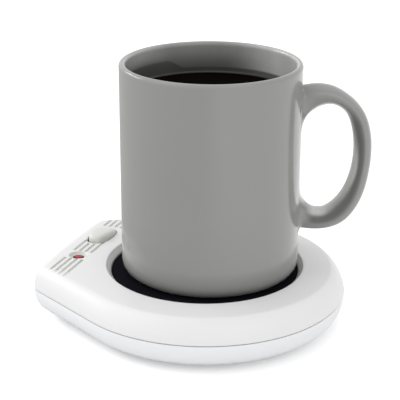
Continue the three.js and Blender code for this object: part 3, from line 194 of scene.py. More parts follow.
def solid(name: str, points: Iterable[Point], faces: Iterable[Sequence[int]], crease: float) -> Piece:
    """Make a smooth closed piece from points in millimetres.

    Args:
        name: The piece's name.
        points: Its points.
        faces: Its faces as rows of point numbers.
        crease: The angle in degrees past which an edge stays crisp.

    Returns:
        The new piece, with doubles merged and faces outward.
    """
    mesh = raw_mesh(name, points, faces=[tuple(face) for face in faces])
    clean(mesh, 0.002 * MM)
    return smooth(linked(name, mesh), crease)


def loft(name: str, rings: Sequence[Sequence[Point]], ends: Ends = Ends.CAPS,
         crease: float = CREASE) -> Piece:
    """Skin a row of rings that have equally many points.

    Args:
        name: The piece's name.
        rings: The rings, in order.
        ends: How the row ends.
        crease: The angle in degrees past which an edge stays crisp.

    Returns:
        The closed piece.
    """
    count, total = len(rings[0]), len(rings)
    faces: list[Sequence[int]] = []
    for i in range(total if ends is Ends.JOINED else total - 1):
        low, high = i * count, (i + 1) % total * count
        faces += [(low + k, low + (k + 1) % count, high + (k + 1) % count, high + k) for k in range(count)]
    if ends is Ends.CAPS:
        last = (total - 1) * count
        faces += [range(count - 1, -1, -1), range(last, last + count)]
    return solid(name, [point for ring in rings for point in ring], faces, crease)


def turned(name: str, profile: Iterable[Flat], steps: int = 96, ends: Ends = Ends.POLES,
           crease: float = CREASE) -> Piece:
    """Turn a profile of (radius, height) about the upright axis."""
    return loft(name, [circle(radius, height, steps) for radius, height in profile], ends, crease)


def shift(x: float, y: float, z: float = 0.0) -> Matrix:
    """Give the move to a place in millimetres."""
    return Matrix.Translation(Vector((x, y, z)) * MM)


def moved(piece: Piece, move: Matrix) -> Piece:
    """Move a piece's mesh and hand the piece back."""
    piece.data.transform(move)
    return piece


def rod(radius: float, start: Point, end: Point, steps: int) -> Piece:
    """Make a plain round rod from one point to another.

    Args:
        radius: The rod's radius.
        start: The middle of its first face.
        end: The middle of its last face.
        steps: How many sides it has.

    Returns:
        The rod.
    """
    along = Vector(end) - Vector(start)
    piece = turned("rod", [(0, 0), (radius, 0), (radius, along.length), (0, along.length)], steps)
    return moved(piece, shift(*start) @ along.to_track_quat("Z", "Y").to_matrix().to_4x4())


def posts(radius: float, places: Iterable[Flat], low: float, high: float, steps: int) -> list[Piece]:
    """Stand an upright rod at each place, from one height to another."""
    return [rod(radius, (x, y, low), (x, y, high), steps) for x, y in places]


def drop(piece: Piece) -> None:
    """Remove a helper object and its mesh.

    Args:
        piece: The helper.
    """
    mesh = piece.data
    bpy.data.objects.remove(piece)
    bpy.data.meshes.remove(mesh)


def joined(name: str, parts: Sequence[Piece], crease: float = CREASE) -> Piece:
    """Join closed parts into one piece and remove them.

    Args:
        name: The new piece's name.
        parts: The parts to join.
        crease: The angle in degrees past which an edge stays crisp.

    Returns:
        The joined piece.
    """
    work = bmesh.new()
    for part in parts:
        work.from_mesh(part.data)
        drop(part)
    mesh = bpy.data.meshes.new(name)
    work.to_mesh(mesh)
    work.free()
    return smooth(linked(name, mesh), crease)


def settled(piece: Piece) -> Piece:
    """Turn a piece with its modifiers into a plain mesh.

    Args:
        piece: The piece whose modifiers are worked out.

    Returns:
        The same object, with the worked-out mesh and no modifiers.
    """
    view = bpy.context.evaluated_depsgraph_get()
    fresh, old = bpy.data.meshes.new_from_object(piece.evaluated_get(view)), piece.data
    piece.modifiers.clear()
    piece.data = fresh
    fresh.name = piece.name
    bpy.data.meshes.remove(old)
    return piece


def carved(piece: Piece, cutters: Sequence[Piece], crease: float = CREASE) -> Piece:
    """Cut shapes out of a piece and remove the cutters.

    Args:
        piece: The piece that is cut.
        cutters: The shapes to take away, clear of each other.
        crease: The angle in degrees past which an edge stays crisp.

    Returns:
        The piece with its cuts.
    """
    cutter = joined("cutter", cutters)
    cut = piece.modifiers.new("cut", "BOOLEAN")
    cut.operation, cut.solver, cut.object = "DIFFERENCE", "EXACT", cutter
    settled(piece)
    drop(cutter)
    return smooth(piece, crease)


# Node trees


class Net:
    """Places and links the nodes of one tree by short calls."""

    def __init__(self, tree: Tree) -> None:
        """Work on a tree."""
        self.tree, self.nodes = tree, tree.nodes

    def feed(self, entry: Socket, value: object) -> None:
        """Link an entry to a socket, or give it a plain value.

        Args:
            entry: The entry.
            value: The socket or plain value that it takes.
        """
        if isinstance(value, Socket):
            self.tree.links.new(value, entry)
        else:
            entry.default_value = value

    def add(self, kind: str, entries: dict[int | str, object] | None = None,
            **settings: object) -> bpy.types.Node:
        """Place a node, set it up and feed its entries.

        Args:
            kind: The kind of node.
            entries: The socket or plain value that each entry takes.
            settings: The node's other settings by name.

        Returns:
            The node.
        """
        node = self.nodes.new(kind)
        for name, value in settings.items():
            setattr(node, name, value)
        for key, value in (entries or {}).items():
            self.feed(node.inputs[key], value)
        return node

    def effect(self, tree: Tree, entries: dict[str, object]) -> Socket:
        """Place a shared effect with its own values and give its result."""
        return self.add("ShaderNodeGroup", entries, node_tree=tree).outputs[0]

    def shade(self, entries: dict[str, object]) -> None:
        """Feed the material's own shader."""
        for name, value in entries.items():
            self.feed(self.nodes["Principled BSDF"].inputs[name], value)

    def coordinates(self, name: str = "Object") -> Socket:
        """Give the piece's own coordinates, or another of the kinds that Blender has."""
        return self.add("ShaderNodeTexCoord").outputs[name]

    def split(self, vector: Socket) -> list[Socket]:
        """Give a vector's three parts."""
        return list(self.add("ShaderNodeSeparateXYZ", {0: vector}).outputs)

    def place(self, centre: Point = (0.0, 0.0, 0.0)) -> list[Socket]:
        """Give a place's three distances from a centre, in millimetres."""
        entries = {0: self.coordinates(), 1: (1 / MM,) * 3, 2: tuple(-value for value in centre)}
        return self.split(self.add("ShaderNodeVectorMath", entries, operation="MULTIPLY_ADD").outputs[0])

    def maths(self, operation: str, *entries: object) -> Socket:
        """Work on numbers or sockets."""
        return self.add("ShaderNodeMath", dict(enumerate(entries)), operation=operation).outputs[0]

    def times(self, first: object, *others: object) -> Socket:
        """Multiply numbers or sockets.

        Args:
            first: The first factor.
            others: The other factors.

        Returns:
            The product's socket.
        """
        for other in others:
            first = self.maths("MULTIPLY", first, other)
        return first

    def both(self, one: object, two: object, by_one: object, by_two: object) -> Socket:
        """Give one value times its factor plus another times its own."""
        return self.maths("ADD", self.times(one, by_one), self.times(two, by_two))

    def length(self, one: Socket, two: Socket) -> Socket:
        """Give the length of a run from its two sides."""
        return self.maths("SQRT", self.both(one, two, one, two))

    def span(self, value: Socket, low: float, high: float, fade: Fade = Fade.SOFT) -> Socket:
        """Give a mask that grows from nought at one value to one at another."""
        entries = {"Value": value, "From Min": low, "From Max": high}
        return self.add("ShaderNodeMapRange", entries, interpolation_type=fade.value).outputs[0]

    def mix(self, share: Socket, first: object, second: object) -> Socket:
        """Mix two colours by a mask."""
        return self.add("ShaderNodeMix", {0: share, 6: first, 7: second}, data_type="RGBA").outputs[2]

    def noise(self, scale: object, detail: float, vector: Socket | None = None) -> Socket:
        """Give a noise on the piece's own coordinates, or on a vector."""
        entries = {"Vector": vector or self.coordinates(), "Scale": scale, "Detail": detail}
        return self.add("ShaderNodeTexNoise", entries).outputs[0]


class Group(Net):
    """A node group with named entries and results."""

    KINDS = {float: "NodeSocketFloat", int: "NodeSocketInt", tuple: "NodeSocketColor"}

    def __init__(self, kind: Kind, name: str, entries: dict[str, object], result: tuple[str, str]) -> None:
        """Open the group.

        Args:
            kind: The kind of tree.
            name: The group's name.
            entries: Each entry's name, with its plain value or else its kind of socket.
            result: The result's name and its kind of socket.
        """
        super().__init__(bpy.data.node_groups.new(name, kind.value))
        faces = self.tree.interface
        for label, value in entries.items():
            if isinstance(value, str):
                faces.new_socket(name=label, in_out="INPUT", socket_type=value)
            else:
                socket = faces.new_socket(name=label, in_out="INPUT", socket_type=self.KINDS[type(value)])
                socket.default_value = value
        faces.new_socket(name=result[0], in_out="OUTPUT", socket_type=result[1])
        self.entry = self.nodes.new("NodeGroupInput").outputs
        self.leave = self.nodes.new("NodeGroupOutput").inputs[0]

    def close(self, result: Socket) -> Tree:
        """Feed the group's result and give its tree."""
        self.feed(self.leave, result)
        return self.tree

    def realized(self, shape: Socket) -> Tree:
        """End a geometry tree in real geometry with its finish.

        Args:
            shape: The geometry so far.

        Returns:
            The whole tree.
        """
        real = self.add("GeometryNodeRealizeInstances", {0: shape})
        return self.close(self.add("GeometryNodeSetMaterial", {
            "Geometry": real.outputs[0], "Material": self.entry["Finish"],
        }).outputs[0])


GEOMETRY = ("Geometry", "NodeSocketGeometry")
COLOUR = ("Colour", "NodeSocketColor")
GREY: Colour = (0.8, 0.8, 0.8, 1.0)
RUBBED_SPAN: Flat = (0.53, 0.62)


@cache
def copies_tree() -> Tree:
    """Set a copy of a pattern on every point.

    Returns:
        The geometry tree.
    """
    group = Group(Kind.GEOMETRY, "copies_at_points", {
        "Geometry": GEOMETRY[1], "Pattern": "NodeSocketObject", "Most Spin": 0.0, "Seed": 7,
        "Finish": "NodeSocketMaterial",
    }, GEOMETRY)
    entry = group.entry
    pattern = group.add("GeometryNodeObjectInfo", {"Object": entry["Pattern"]})
    spin = group.add("FunctionNodeRandomValue", {2: 0.0, 3: entry["Most Spin"], "Seed": entry["Seed"]},
                     data_type="FLOAT")
    turn = group.add("ShaderNodeCombineXYZ", {"Z": spin.outputs[1]})
    euler = group.add("FunctionNodeEulerToRotation", {0: turn.outputs[0]})
    return group.realized(group.add("GeometryNodeInstanceOnPoints", {
        "Points": entry["Geometry"], "Instance": pattern.outputs["Geometry"], "Rotation": euler.outputs[0],
    }).outputs[0])


@cache
def runs_tree() -> Tree:
    """Sweep a round section along each run of edges.

    Returns:
        The geometry tree.
    """
    group = Group(Kind.GEOMETRY, "round_runs", {
        "Geometry": GEOMETRY[1], "Radius": 0.0005, "Sides": 20, "Finish": "NodeSocketMaterial",
    }, GEOMETRY)
    entry = group.entry
    share = group.add("GeometryNodeInputNamedAttribute", {"Name": "girth"}, data_type="FLOAT")
    path = group.add("GeometryNodeMeshToCurve", {0: entry["Geometry"]})
    girth = group.add("GeometryNodeSetCurveRadius", {"Curve": path.outputs[0], "Radius": share.outputs[0]})
    section = group.add("GeometryNodeCurvePrimitiveCircle", {
        "Radius": entry["Radius"], "Resolution": entry["Sides"],
    })
    return group.realized(group.add("GeometryNodeCurveToMesh", {
        "Curve": girth.outputs[0], "Profile Curve": section.outputs[0], "Fill Caps": True,
    }).outputs[0])


def grown(piece: Piece, tree: Tree, values: dict[str, object]) -> Piece:
    """Run a tree on a piece and keep the plain result.

    Args:
        piece: The piece that the tree starts from.
        tree: The tree to run.
        values: The tree's entries by name.

    Returns:
        The piece as a plain mesh.
    """
    modifier = piece.modifiers.new(tree.name, "NODES")
    modifier.node_group = tree
    for item in tree.interface.items_tree:
        if item.in_out == "INPUT" and item.name in values:
            modifier[item.identifier] = values[item.name]
    return settled(piece)


# Shader effects that several finishes share


@cache
def tone_drift() -> Tree:
    """Let a colour grow a little lighter and darker over the surface.

    Returns:
        The shader group.
    """
    group = Group(Kind.SHADER, "tone_drift", {"Colour": GREY, "Amount": 0.03, "Scale": 30.0}, COLOUR)
    swing = group.maths("SUBTRACT", group.noise(group.entry["Scale"], detail=4.0), 0.5)
    value = group.maths("ADD", group.times(swing, group.entry["Amount"], 2.0), 1.0)
    entries = {"Color": group.entry["Colour"], "Value": value}
    return group.close(group.add("ShaderNodeHueSaturation", entries).outputs[0])


@cache
def surface_grain() -> Tree:
    """Give the height of a fine skin over a slower swell.

    Returns:
        The shader group.
    """
    group = Group(Kind.SHADER, "surface_grain", {
        "Fine Scale": 2500.0, "Swell Scale": 70.0, "Swell Share": 0.6,
    }, ("Height", "NodeSocketFloat"))
    swell = group.times(group.noise(group.entry["Swell Scale"], detail=1.0), group.entry["Swell Share"])
    return group.close(group.maths("ADD", group.noise(group.entry["Fine Scale"], detail=2.0), swell))


@cache
def handled_sheen() -> Tree:
    """Let the roughness wander where hands and cloths have been.

    Returns:
        The shader group.
    """
    group = Group(Kind.SHADER, "handled_sheen", {
        "Roughness": 0.3, "Spread": 0.05, "Scale": 45.0,
    }, ("Roughness", "NodeSocketFloat"))
    swing = group.maths("SUBTRACT", group.noise(group.entry["Scale"], detail=5.0), 0.5)
    wander = group.times(swing, group.entry["Spread"])
    return group.close(group.maths("ADD", group.entry["Roughness"], wander))


@cache
def settled_dust() -> Tree:
    """Lay a thin broken film on what faces up.

    Returns:
        The shader group.
    """
    group = Group(Kind.SHADER, "settled_dust", {
        "Colour": GREY, "Film": (0.6, 0.58, 0.55, 1.0), "Amount": 0.05, "Scale": 400.0,
    }, COLOUR)
    up = group.maths("MAXIMUM", group.split(group.coordinates("Normal"))[2], 0.0)
    share = group.times(up, group.noise(group.entry["Scale"], detail=3.0), group.entry["Amount"])
    return group.close(group.mix(share, group.entry["Colour"], group.entry["Film"]))


@cache
def edge_rub() -> Tree:
    """Show where edges have been rubbed.

    Returns:
        The shader group.
    """
    group = Group(Kind.SHADER, "edge_rub", {
        "Colour": GREY, "Bare": (0.9, 0.9, 0.9, 1.0), "Amount": 0.3, "Scale": 300.0,
    }, COLOUR)
    pointed = group.add("ShaderNodeNewGeometry").outputs["Pointiness"]
    edges = group.span(pointed, *RUBBED_SPAN, Fade.STRAIGHT)
    share = group.times(edges, group.noise(group.entry["Scale"], detail=4.0), group.entry["Amount"])
    return group.close(group.mix(share, group.entry["Colour"], group.entry["Bare"]))


# Finishes


def tone(colour: Point) -> Colour:
    """Turn a screen colour of 0 to 255 into the linear colour that a shader takes."""
    shares = [value / 255 for value in colour]
    return (*(s / 12.92 if s <= 0.04045 else ((s + 0.055) / 1.055) ** 2.4 for s in shares), 1.0)


def new_material(name: str) -> tuple[bpy.types.Material, Net]:
    """Open a material.

    Args:
        name: The material's name.

    Returns:
        The material and its net.
    """
    material = bpy.data.materials.new(name)
    material.use_nodes = True
    return material, Net(material.node_tree)


@dataclass(frozen=True)
class Finish:
    """A finish of one record slot, with its colour, sheen, grain and wear."""

    slot: str
    colour: Point
    roughness: float = 0.4
    spread: float = 0.08
    drift: float = 0.03
    drift_scale: float = 35.0
    grain_depth: float = 0.02
    fine_scale: float = 2600.0
    dust: float = 0.04
    rub: float = 0.15
    rub_colour: Point = (225, 225, 225)
    metallic: float = 0.0
    coat: float = 0.0
    coat_roughness: float = 0.1
    specular: float = 0.5
    subsurface: float = 0.0
    sheen: float = 0.0
    transmission: float = 0.0

    def build(self) -> bpy.types.Material:
        """Make the finish's material.

        Returns:
            The node-based material.
        """
        material, net = new_material(self.slot)
        colour = net.effect(tone_drift(), {
            "Colour": tone(self.colour), "Amount": self.drift, "Scale": self.drift_scale,
        })
        colour = net.effect(edge_rub(), {
            "Colour": colour, "Bare": tone(self.rub_colour), "Amount": self.rub,
        })
        colour = net.effect(settled_dust(), {"Colour": colour, "Amount": self.dust})
        height = net.effect(surface_grain(), {"Fine Scale": self.fine_scale})
        bump = net.add("ShaderNodeBump", {"Distance": self.grain_depth * MM, "Height": height})
        sheen = net.effect(handled_sheen(), {"Roughness": self.roughness, "Spread": self.spread})
        net.shade({
            "Base Color": self.tint(net, colour), "Roughness": sheen, "Normal": bump.outputs["Normal"],
            "Metallic": self.metallic, "Coat Weight": self.coat, "Coat Roughness": self.coat_roughness,
            "Specular IOR Level": self.specular, "Subsurface Weight": self.subsurface,
            "Subsurface Scale": MM, "Sheen Weight": self.sheen, "Transmission Weight": self.transmission,
        })
        return material

    def tint(self, net: Net, colour: Socket) -> Socket:
        """Leave the colour as it is; a special finish adds its own marks."""
        return colour


@dataclass(frozen=True)
class Glaze(Finish):
    """The mug's glaze: bare clay under its foot ring, painted shade, light and reflections inside, painted
    shade and light on the handle, and painted shade towards the foot.

    A span gives where a mark's mask is nought and where it is one.
    """

    axis: Point = (1.56, 2.57, 0.0)
    loop_degrees: float = 20.3
    loop_centre: Flat = (55.0, 72.0)
    inside_span: Flat = (39.5, 38.5)
    # Painted shade on the lower inner wall (film), blending up to painted light near the rim (clean).
    shaded_wall: Point = (98, 98, 95)
    clean: Point = (152, 153, 150)
    lit_wall_span: Flat = (107.5, 118.6)
    # Painted light on the inner wall towards the handle's side, and with the crest masks at its upper left.
    lit_side: Point = (196, 197, 194)
    lit_side_span: Flat = (6.0, 34.0)
    crest_side_span: Flat = (-16.0, -34.0)
    crest_rise_span: Flat = (110.5, 117.0)
    crest_share: float = 0.55
    # Painted reflections: soft upright streaks on the inner wall.
    run: Point = (92, 92, 88)
    reflection_stretch: Point = (120.0, 120.0, 9.0)
    reflection_span: Flat = (0.35, 0.75)
    reflection_share: float = 0.14
    # Painted shadow of the rim on the inner wall just above the drink, higher and fainter at the left.
    rim_shadow: Point = (64, 65, 64)
    rim_shadow_span: Flat = (108.4, 107.2)
    rim_shadow_share: float = 0.8
    shadow_side_span: Flat = (-12.0, -21.0)
    shadow_side_rise: float = 4.0
    shadow_side_loss: float = 0.25
    loop_span: Flat = (43.0, 48.0)
    # Painted shade: a darker band along the handle where its skin turns towards the loop's middle, stronger
    # lower down.
    handle_shade: Point = (98, 99, 96)
    handle_shade_start: Flat = (-0.35, 0.1)
    handle_shade_end: Flat = (0.75, 0.35)
    handle_shade_low_span: Flat = (104.0, 92.0)
    handle_shade_top_share: float = 0.25
    # Painted light on the handle's skin that faces the loop's middle.
    handle_highlight: Point = (206, 208, 204)
    handle_highlight_span: Flat = (0.5, 0.85)
    # Painted shade: the glaze darker towards the foot.
    foot_shade: Point = (104, 105, 102)
    low_span: Flat = (35.0, 22.0)
    low_share: float = 0.8
    clay: Point = (196, 188, 176)
    clay_span: Flat = (22.42, 22.18)

    def tint(self, net: Net, colour: Socket) -> Socket:
        """Paint shade, light and reflections inside, a shade band and light on the handle, and shade towards
        the foot, and show bare clay on the foot ring.

        Args:
            net: The material's net.
            colour: The glaze's plain colour.

        Returns:
            The colour with its marks.
        """
        x, y, z = net.place(self.axis)
        turn = math.radians(self.loop_degrees)
        ways = math.cos(turn), math.sin(turn)
        out, aside = net.length(x, y), net.both(x, y, *ways)
        colour = net.mix(net.span(out, *self.inside_span), colour, self.inner_wall(net, aside, z))
        loop, bend = net.span(out, *self.loop_span), self.bend(net, aside, z, ways)
        # Painted shade band along the handle, stronger lower down.
        low = net.span(z, *self.handle_shade_low_span)
        level = net.maths("MULTIPLY_ADD", low, 1 - self.handle_shade_top_share, self.handle_shade_top_share)
        band = net.times(net.span(bend, *self.handle_shade_start), net.span(bend, *self.handle_shade_end), loop, level)
        colour = net.mix(band, colour, tone(self.handle_shade))
        # Painted light on the handle's face towards the loop.
        colour = net.mix(net.times(net.span(bend, *self.handle_highlight_span), loop), colour, tone(self.handle_highlight))
        # Painted shade towards the foot.
        foot = net.times(net.span(z, *self.low_span, Fade.STRAIGHT), self.low_share)
        colour = net.mix(foot, colour, tone(self.foot_shade))
        return net.mix(net.span(z, *self.clay_span, Fade.STRAIGHT), colour, tone(self.clay))

    def inner_wall(self, net: Net, aside: Socket, z: Socket) -> Socket:
        """Give the inner wall's colour above the drink, with its painted shade, light and reflections.

        Args:
            net: The material's net.
            aside: The place along the handle's side, from the mug's axis.
            z: The place's height.

        Returns:
            The wall's colour.
        """
        # Painted shade low on the inner wall and painted light towards the rim.
        wall = net.mix(net.span(z, *self.lit_wall_span), tone(self.shaded_wall), tone(self.clean))
        # Painted light towards the handle's side and at the upper left.
        wall = net.mix(net.span(aside, *self.lit_side_span), wall, tone(self.lit_side))
        crest = net.times(net.span(aside, *self.crest_side_span), net.span(z, *self.crest_rise_span))
        wall = net.mix(net.times(crest, self.crest_share), wall, tone(self.lit_side))
        # Painted reflections as soft upright streaks.
        entries = {0: net.coordinates(), 1: self.reflection_stretch}
        stretch = net.add("ShaderNodeVectorMath", entries, operation="MULTIPLY")
        reflection_streaks = net.noise(1.0, detail=2.0, vector=stretch.outputs[0])
        wall = net.mix(net.times(net.span(reflection_streaks, *self.reflection_span), self.reflection_share), wall, tone(self.run))
        # Painted shadow of the rim above the drink, higher and fainter at the left.
        shadow_side = net.span(aside, *self.shadow_side_span)
        sunk = net.maths("MULTIPLY_ADD", shadow_side, -self.shadow_side_rise, z)
        share = net.maths("MULTIPLY_ADD", shadow_side, -self.shadow_side_loss, self.rim_shadow_share)
        return net.mix(net.times(net.span(sunk, *self.rim_shadow_span), share), wall, tone(self.rim_shadow))

    def bend(self, net: Net, aside: Socket, z: Socket, ways: Flat) -> Socket:
        """Give how far the handle's skin faces the middle of its loop.

        Args:
            net: The material's net.
            aside: The place along the handle's side, from the mug's axis.
            z: The place's height.
            ways: The shares of X and Y in the handle's side.

        Returns:
            A value from minus one, away from the middle, to one, towards it.
        """
        across, along, rise = net.split(net.coordinates("Normal"))
        away = net.maths("SUBTRACT", self.loop_centre[0], aside)
        up = net.maths("SUBTRACT", self.loop_centre[1], z)
        facing = net.both(net.both(across, along, *ways), rise, away, up)
        return net.maths("DIVIDE", facing, net.length(away, up))


@dataclass(frozen=True)
class Shell(Finish):
    """The upper shell's white plastic, with painted shade in the panel's grooves, dish and slot."""

    low: Point = (-64.5, -33.0, 22.0)
    high: Point = (-52.9, 33.0, 23.95)
    fades: Point = (0.2, 0.2, 0.12)
    # Painted shade in the panel's grooves, dish and slot.
    settled: Point = (210, 214, 206)
    recess_shade_share: float = 0.85

    def tint(self, net: Net, colour: Socket) -> Socket:
        """Paint shade in the grooves, dish and slot of the panel.

        Args:
            net: The material's net.
            colour: The plastic's plain colour.

        Returns:
            The colour with the dust.
        """
        # Painted shade in the box that holds the panel's grooves, dish and slot.
        share: object = self.recess_shade_share
        for way, low, high, fade in zip(net.place(), self.low, self.high, self.fades):
            rise, fall = net.span(way, low - fade, low + fade), net.span(way, high + fade, high - fade)
            share = net.times(rise, fall, share)
        return net.mix(share, colour, tone(self.settled))


@dataclass(frozen=True)
class Lens(Finish):
    """The pilot lamp's red plastic, with painted shade towards its edge."""

    centre: Point = (-58.7, -14.0, 0.0)
    painted_edge_span: Flat = (1.08, 2.28)
    # Painted shade where the lens meets its dish.
    edge_shade: Point = (92, 14, 26)

    def tint(self, net: Net, colour: Socket) -> Socket:
        """Paint shade towards the lens's edge."""
        x, y, _ = net.place(self.centre)
        return net.mix(net.span(net.length(x, y), *self.painted_edge_span), colour, tone(self.edge_shade))


@dataclass(frozen=True)
class DrinkFinish:
    """The black drink, with a painted highlight in a thin ring where it meets the wall."""

    colour: Point = (10, 7, 6)
    # Painted highlight: the lighter ring at the drink's edge.
    edge_highlight: Point = (84, 83, 80)
    painted_edge_span: Flat = (105.5, 105.0)
    drift: float = 0.15
    drift_scale: float = 60.0
    roughness: float = 0.06
    spread: float = 0.03
    specular: float = 0.002

    def build(self) -> bpy.types.Material:
        """Make the drink's material.

        Returns:
            The node-based material.
        """
        material, net = new_material("drink")
        # Painted highlight in a thin ring at the drink's edge.
        mask = net.span(net.place()[2], *self.painted_edge_span, Fade.STRAIGHT)
        colour = net.mix(mask, tone(self.edge_highlight), tone(self.colour))
        drift = {"Colour": colour, "Amount": self.drift, "Scale": self.drift_scale}
        net.shade({
            "Base Color": net.effect(tone_drift(), drift), "Specular IOR Level": self.specular,
            "Roughness": net.effect(handled_sheen(), {"Roughness": self.roughness, "Spread": self.spread}),
        })
        return material


FINISHES = {row.slot: row for row in (
    Glaze("glazed_grey", (146, 147, 145), 0.16, 0.05, drift=0.02, grain_depth=0.012, fine_scale=900,
          coat=0.15, coat_roughness=0.06, specular=0.4, dust=0.02, rub=0.12, rub_colour=(160, 160, 157)),
    Shell("white_shell", (236, 236, 236), 0.4, 0.06, drift=0.008, grain_depth=0.006, dust=0.01, rub=0.05),
    # Painted light: the cover's white is set lighter than the shell's, so that the less lit lower shell
    # reads as bright.
    Finish("white_cover", (242, 243, 245), 0.3, 0.06, drift=0.008, grain_depth=0.008, dust=0.01, rub=0.05),
    Finish("rocker_plastic", (226, 225, 221), 0.42, 0.06, drift=0.01, grain_depth=0.01, dust=0.03, rub=0.06),
    Finish("dark_plate", (22, 21, 27), 0.5, 0.12, drift=0.08, dust=0.005, rub=0.05, rub_colour=(60, 58, 62),
           specular=0.002),
    Lens("red_lens", (180, 38, 54), 0.2, 0.04, drift=0.05, grain_depth=0.004, specular=0.15, dust=0.01,
         rub=0.0),
    Finish("silicone_seal", (137, 46, 36), 0.6, drift=0.05, rub=0.0),
    Finish("black_rubber", (39, 39, 41), 0.62, drift=0.06, grain_depth=0.03, dust=0.12, rub=0.1,
           rub_colour=(80, 80, 80)),
    Finish("foot_rubber", (52, 52, 54), 0.68, drift=0.08, grain_depth=0.03, dust=0.14,
           rub_colour=(90, 90, 90)),
    Finish("mica_sheet", (184, 166, 133), 0.45, drift=0.14, drift_scale=260, grain_depth=0.04),
    Finish("resistance_alloy", (140, 133, 120), 0.34, metallic=1.0, drift=0.08),
    Finish("plain_steel", (168, 170, 173), 0.3, metallic=1.0, drift=0.05),
    Finish("zinc_screw", (194, 194, 191), 0.32, metallic=1.0, drift=0.06, rub=0.2),
    Finish("black_plastic", (31, 31, 33), 0.46, drift=0.06, rub=0.1, rub_colour=(80, 80, 80)),
    Finish("brass_contact", (184, 153, 84), 0.28, metallic=1.0, drift=0.06),
    Finish("glass_fibre", (232, 227, 217), 0.8, drift=0.08, drift_scale=900, grain_depth=0.12, sheen=0.3),
    Finish("lamp_glass", (217, 207, 199), 0.06, drift=0.02, transmission=0.7),
    Finish("resistor_body", (184, 140, 99), 0.35, drift=0.05, coat=0.3),
    Finish("black_wire", (31, 31, 33), 0.45, drift=0.05),
    Finish("white_wire", (222, 222, 219), 0.42),
    Finish("grey_wire", (153, 153, 153), 0.42),
    Finish("nylon", (204, 191, 153), 0.4, drift=0.04, subsurface=0.1),
)}


@cache
def finished(slot: str) -> bpy.types.Material:
    """Give the material of a record slot."""
    return FINISHES[slot].build()


def dress(piece: Piece, slot: str, body: Body, stands_for: Sequence[str] = ()) -> None:
    """Give a finished piece its slot's material and its body, and hide the frame's nodes that it stands for.

    Args:
        piece: The piece, in its place.
        slot: The record's material slot.
        body: The body that it rides on.
        stands_for: The frame's nodes that it replaces.
    """
    piece.data.materials.clear()
    piece.data.materials.append(finished(slot))
    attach(piece, body.value)
    if stands_for:
        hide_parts(*stands_for)
    LOG.info("%s: %d faces, rides on %s", piece.name, len(piece.data.polygons), body.value)


def copies(name: str, pattern: Piece, places: Iterable[Flat], slot: str, stands_for: Sequence[str] = (),
           height: float = 0.0, most_spin: float = 0.0, seed: int = 7) -> None:
    """Set a pattern at several places of the base as one dressed piece.

    Args:
        name: The piece's name.
        pattern: The pattern, which is removed afterwards.
        places: Where the copies go.
        slot: The record's material slot.
        stands_for: The frame's nodes that the piece replaces.
        height: How high the copies go.
        most_spin: The most that a copy is turned about its own axis, in radians.
        seed: The seed of the turning.
    """
    piece = linked(name, raw_mesh(name, [(x, y, height) for x, y in places]))
    values = {"Pattern": pattern, "Most Spin": most_spin, "Seed": seed, "Finish": finished(slot)}
    grown(piece, copies_tree(), values)
    drop(pattern)
    dress(smooth(piece, CREASE), slot, Body.BASE, stands_for)


def round_runs(name: str, runs: Iterable[tuple[Point, Point]], radius: float, sides: int = 20,
               end_steps: int = 6) -> Piece:
    """Sweep a round section along straight runs, with rounded ends.

    Args:
        name: The piece's name.
        runs: Pairs of end points.
        radius: The section's radius.
        sides: How many sides the section has.
        end_steps: How many parts a rounded end has.

    Returns:
        The swept piece.
    """
    points, edges, girths = [], [], []
    turns = [QUARTER * i / end_steps for i in range(1, end_steps + 1)]
    nibs, shares = [radius * (1 - math.cos(a)) for a in turns], [math.sin(a) for a in turns]
    for start, end in runs:
        first, last = Vector(start), Vector(end)
        along, base = (last - first).normalized(), len(points)
        points += [first + along * n for n in nibs] + [last - along * n for n in reversed(nibs)]
        girths += shares + shares[::-1]
        edges += [(i, i + 1) for i in range(base, len(points) - 1)]
    mesh = raw_mesh(name, points, edges)
    mesh.attributes.new("girth", "FLOAT", "POINT").data.foreach_set("value", girths)
    piece = grown(linked(name, mesh), runs_tree(), {"Radius": radius * MM, "Sides": sides})
    clean(piece.data, 0.0001 * MM)
    return piece


# The base


@dataclass(frozen=True)
class Outline:
    """The base's outline: a round front, straight sides, and a panel end with round corners."""

    front_radius: float = 65.4
    end_radius: float = 500.0
    panel_reach: float = 74.0
    corner_radius: float = 7.5
    least_corner: float = 0.6
    side_degrees: float = 118.7
    front_steps: int = 88
    side_steps: int = 14
    corner_steps: int = 16
    end_steps: int = 10

    def flat(self, inset: float) -> list[Flat]:
        """Give the outline moved inwards.

        Args:
            inset: How far it is moved in.

        Returns:
            The outline's points, anticlockwise from +X.
        """
        side = math.radians(self.side_degrees)
        normal, along = Vector((math.cos(side), math.sin(side))), Vector((-math.sin(side), math.cos(side)))
        middle = Vector((self.end_radius - self.panel_reach, 0))
        corner, radius = max(self.corner_radius - inset, self.least_corner), self.front_radius - inset
        start = normal * (radius - corner) - middle
        far, back = self.end_radius - inset - corner, start.dot(along)
        slide = -back + math.sqrt(back ** 2 - start.length_squared + far ** 2)
        centre = start + along * slide + middle
        end_angle = math.degrees(math.atan2(centre.y, centre.x - middle.x))
        first, last = normal * radius, centre + normal * corner
        points = arc((0, 0), radius, 0, self.side_degrees, self.front_steps)
        points += [tuple(first.lerp(last, i / self.side_steps)) for i in range(1, self.side_steps)]
        points += arc(centre, corner, self.side_degrees, end_angle, self.corner_steps)
        points += arc(middle, self.end_radius - inset, end_angle, 180, self.end_steps)[1:]
        return points + [(x, -y) for x, y in points[-2:0:-1]]

    def ring(self, inset: float, height: float) -> list[Point]:
        """Give the inset outline at a height."""
        return [(x, y, height) for x, y in self.flat(inset)]

    def round_ring(self, radius: float, height: float) -> list[Point]:
        """Give a circle whose points face the outline's points."""
        angles = [math.atan2(y, x) for x, y in self.flat(0)]
        return [(radius * math.cos(a), radius * math.sin(a), height) for a in angles]


OUTLINE = Outline()


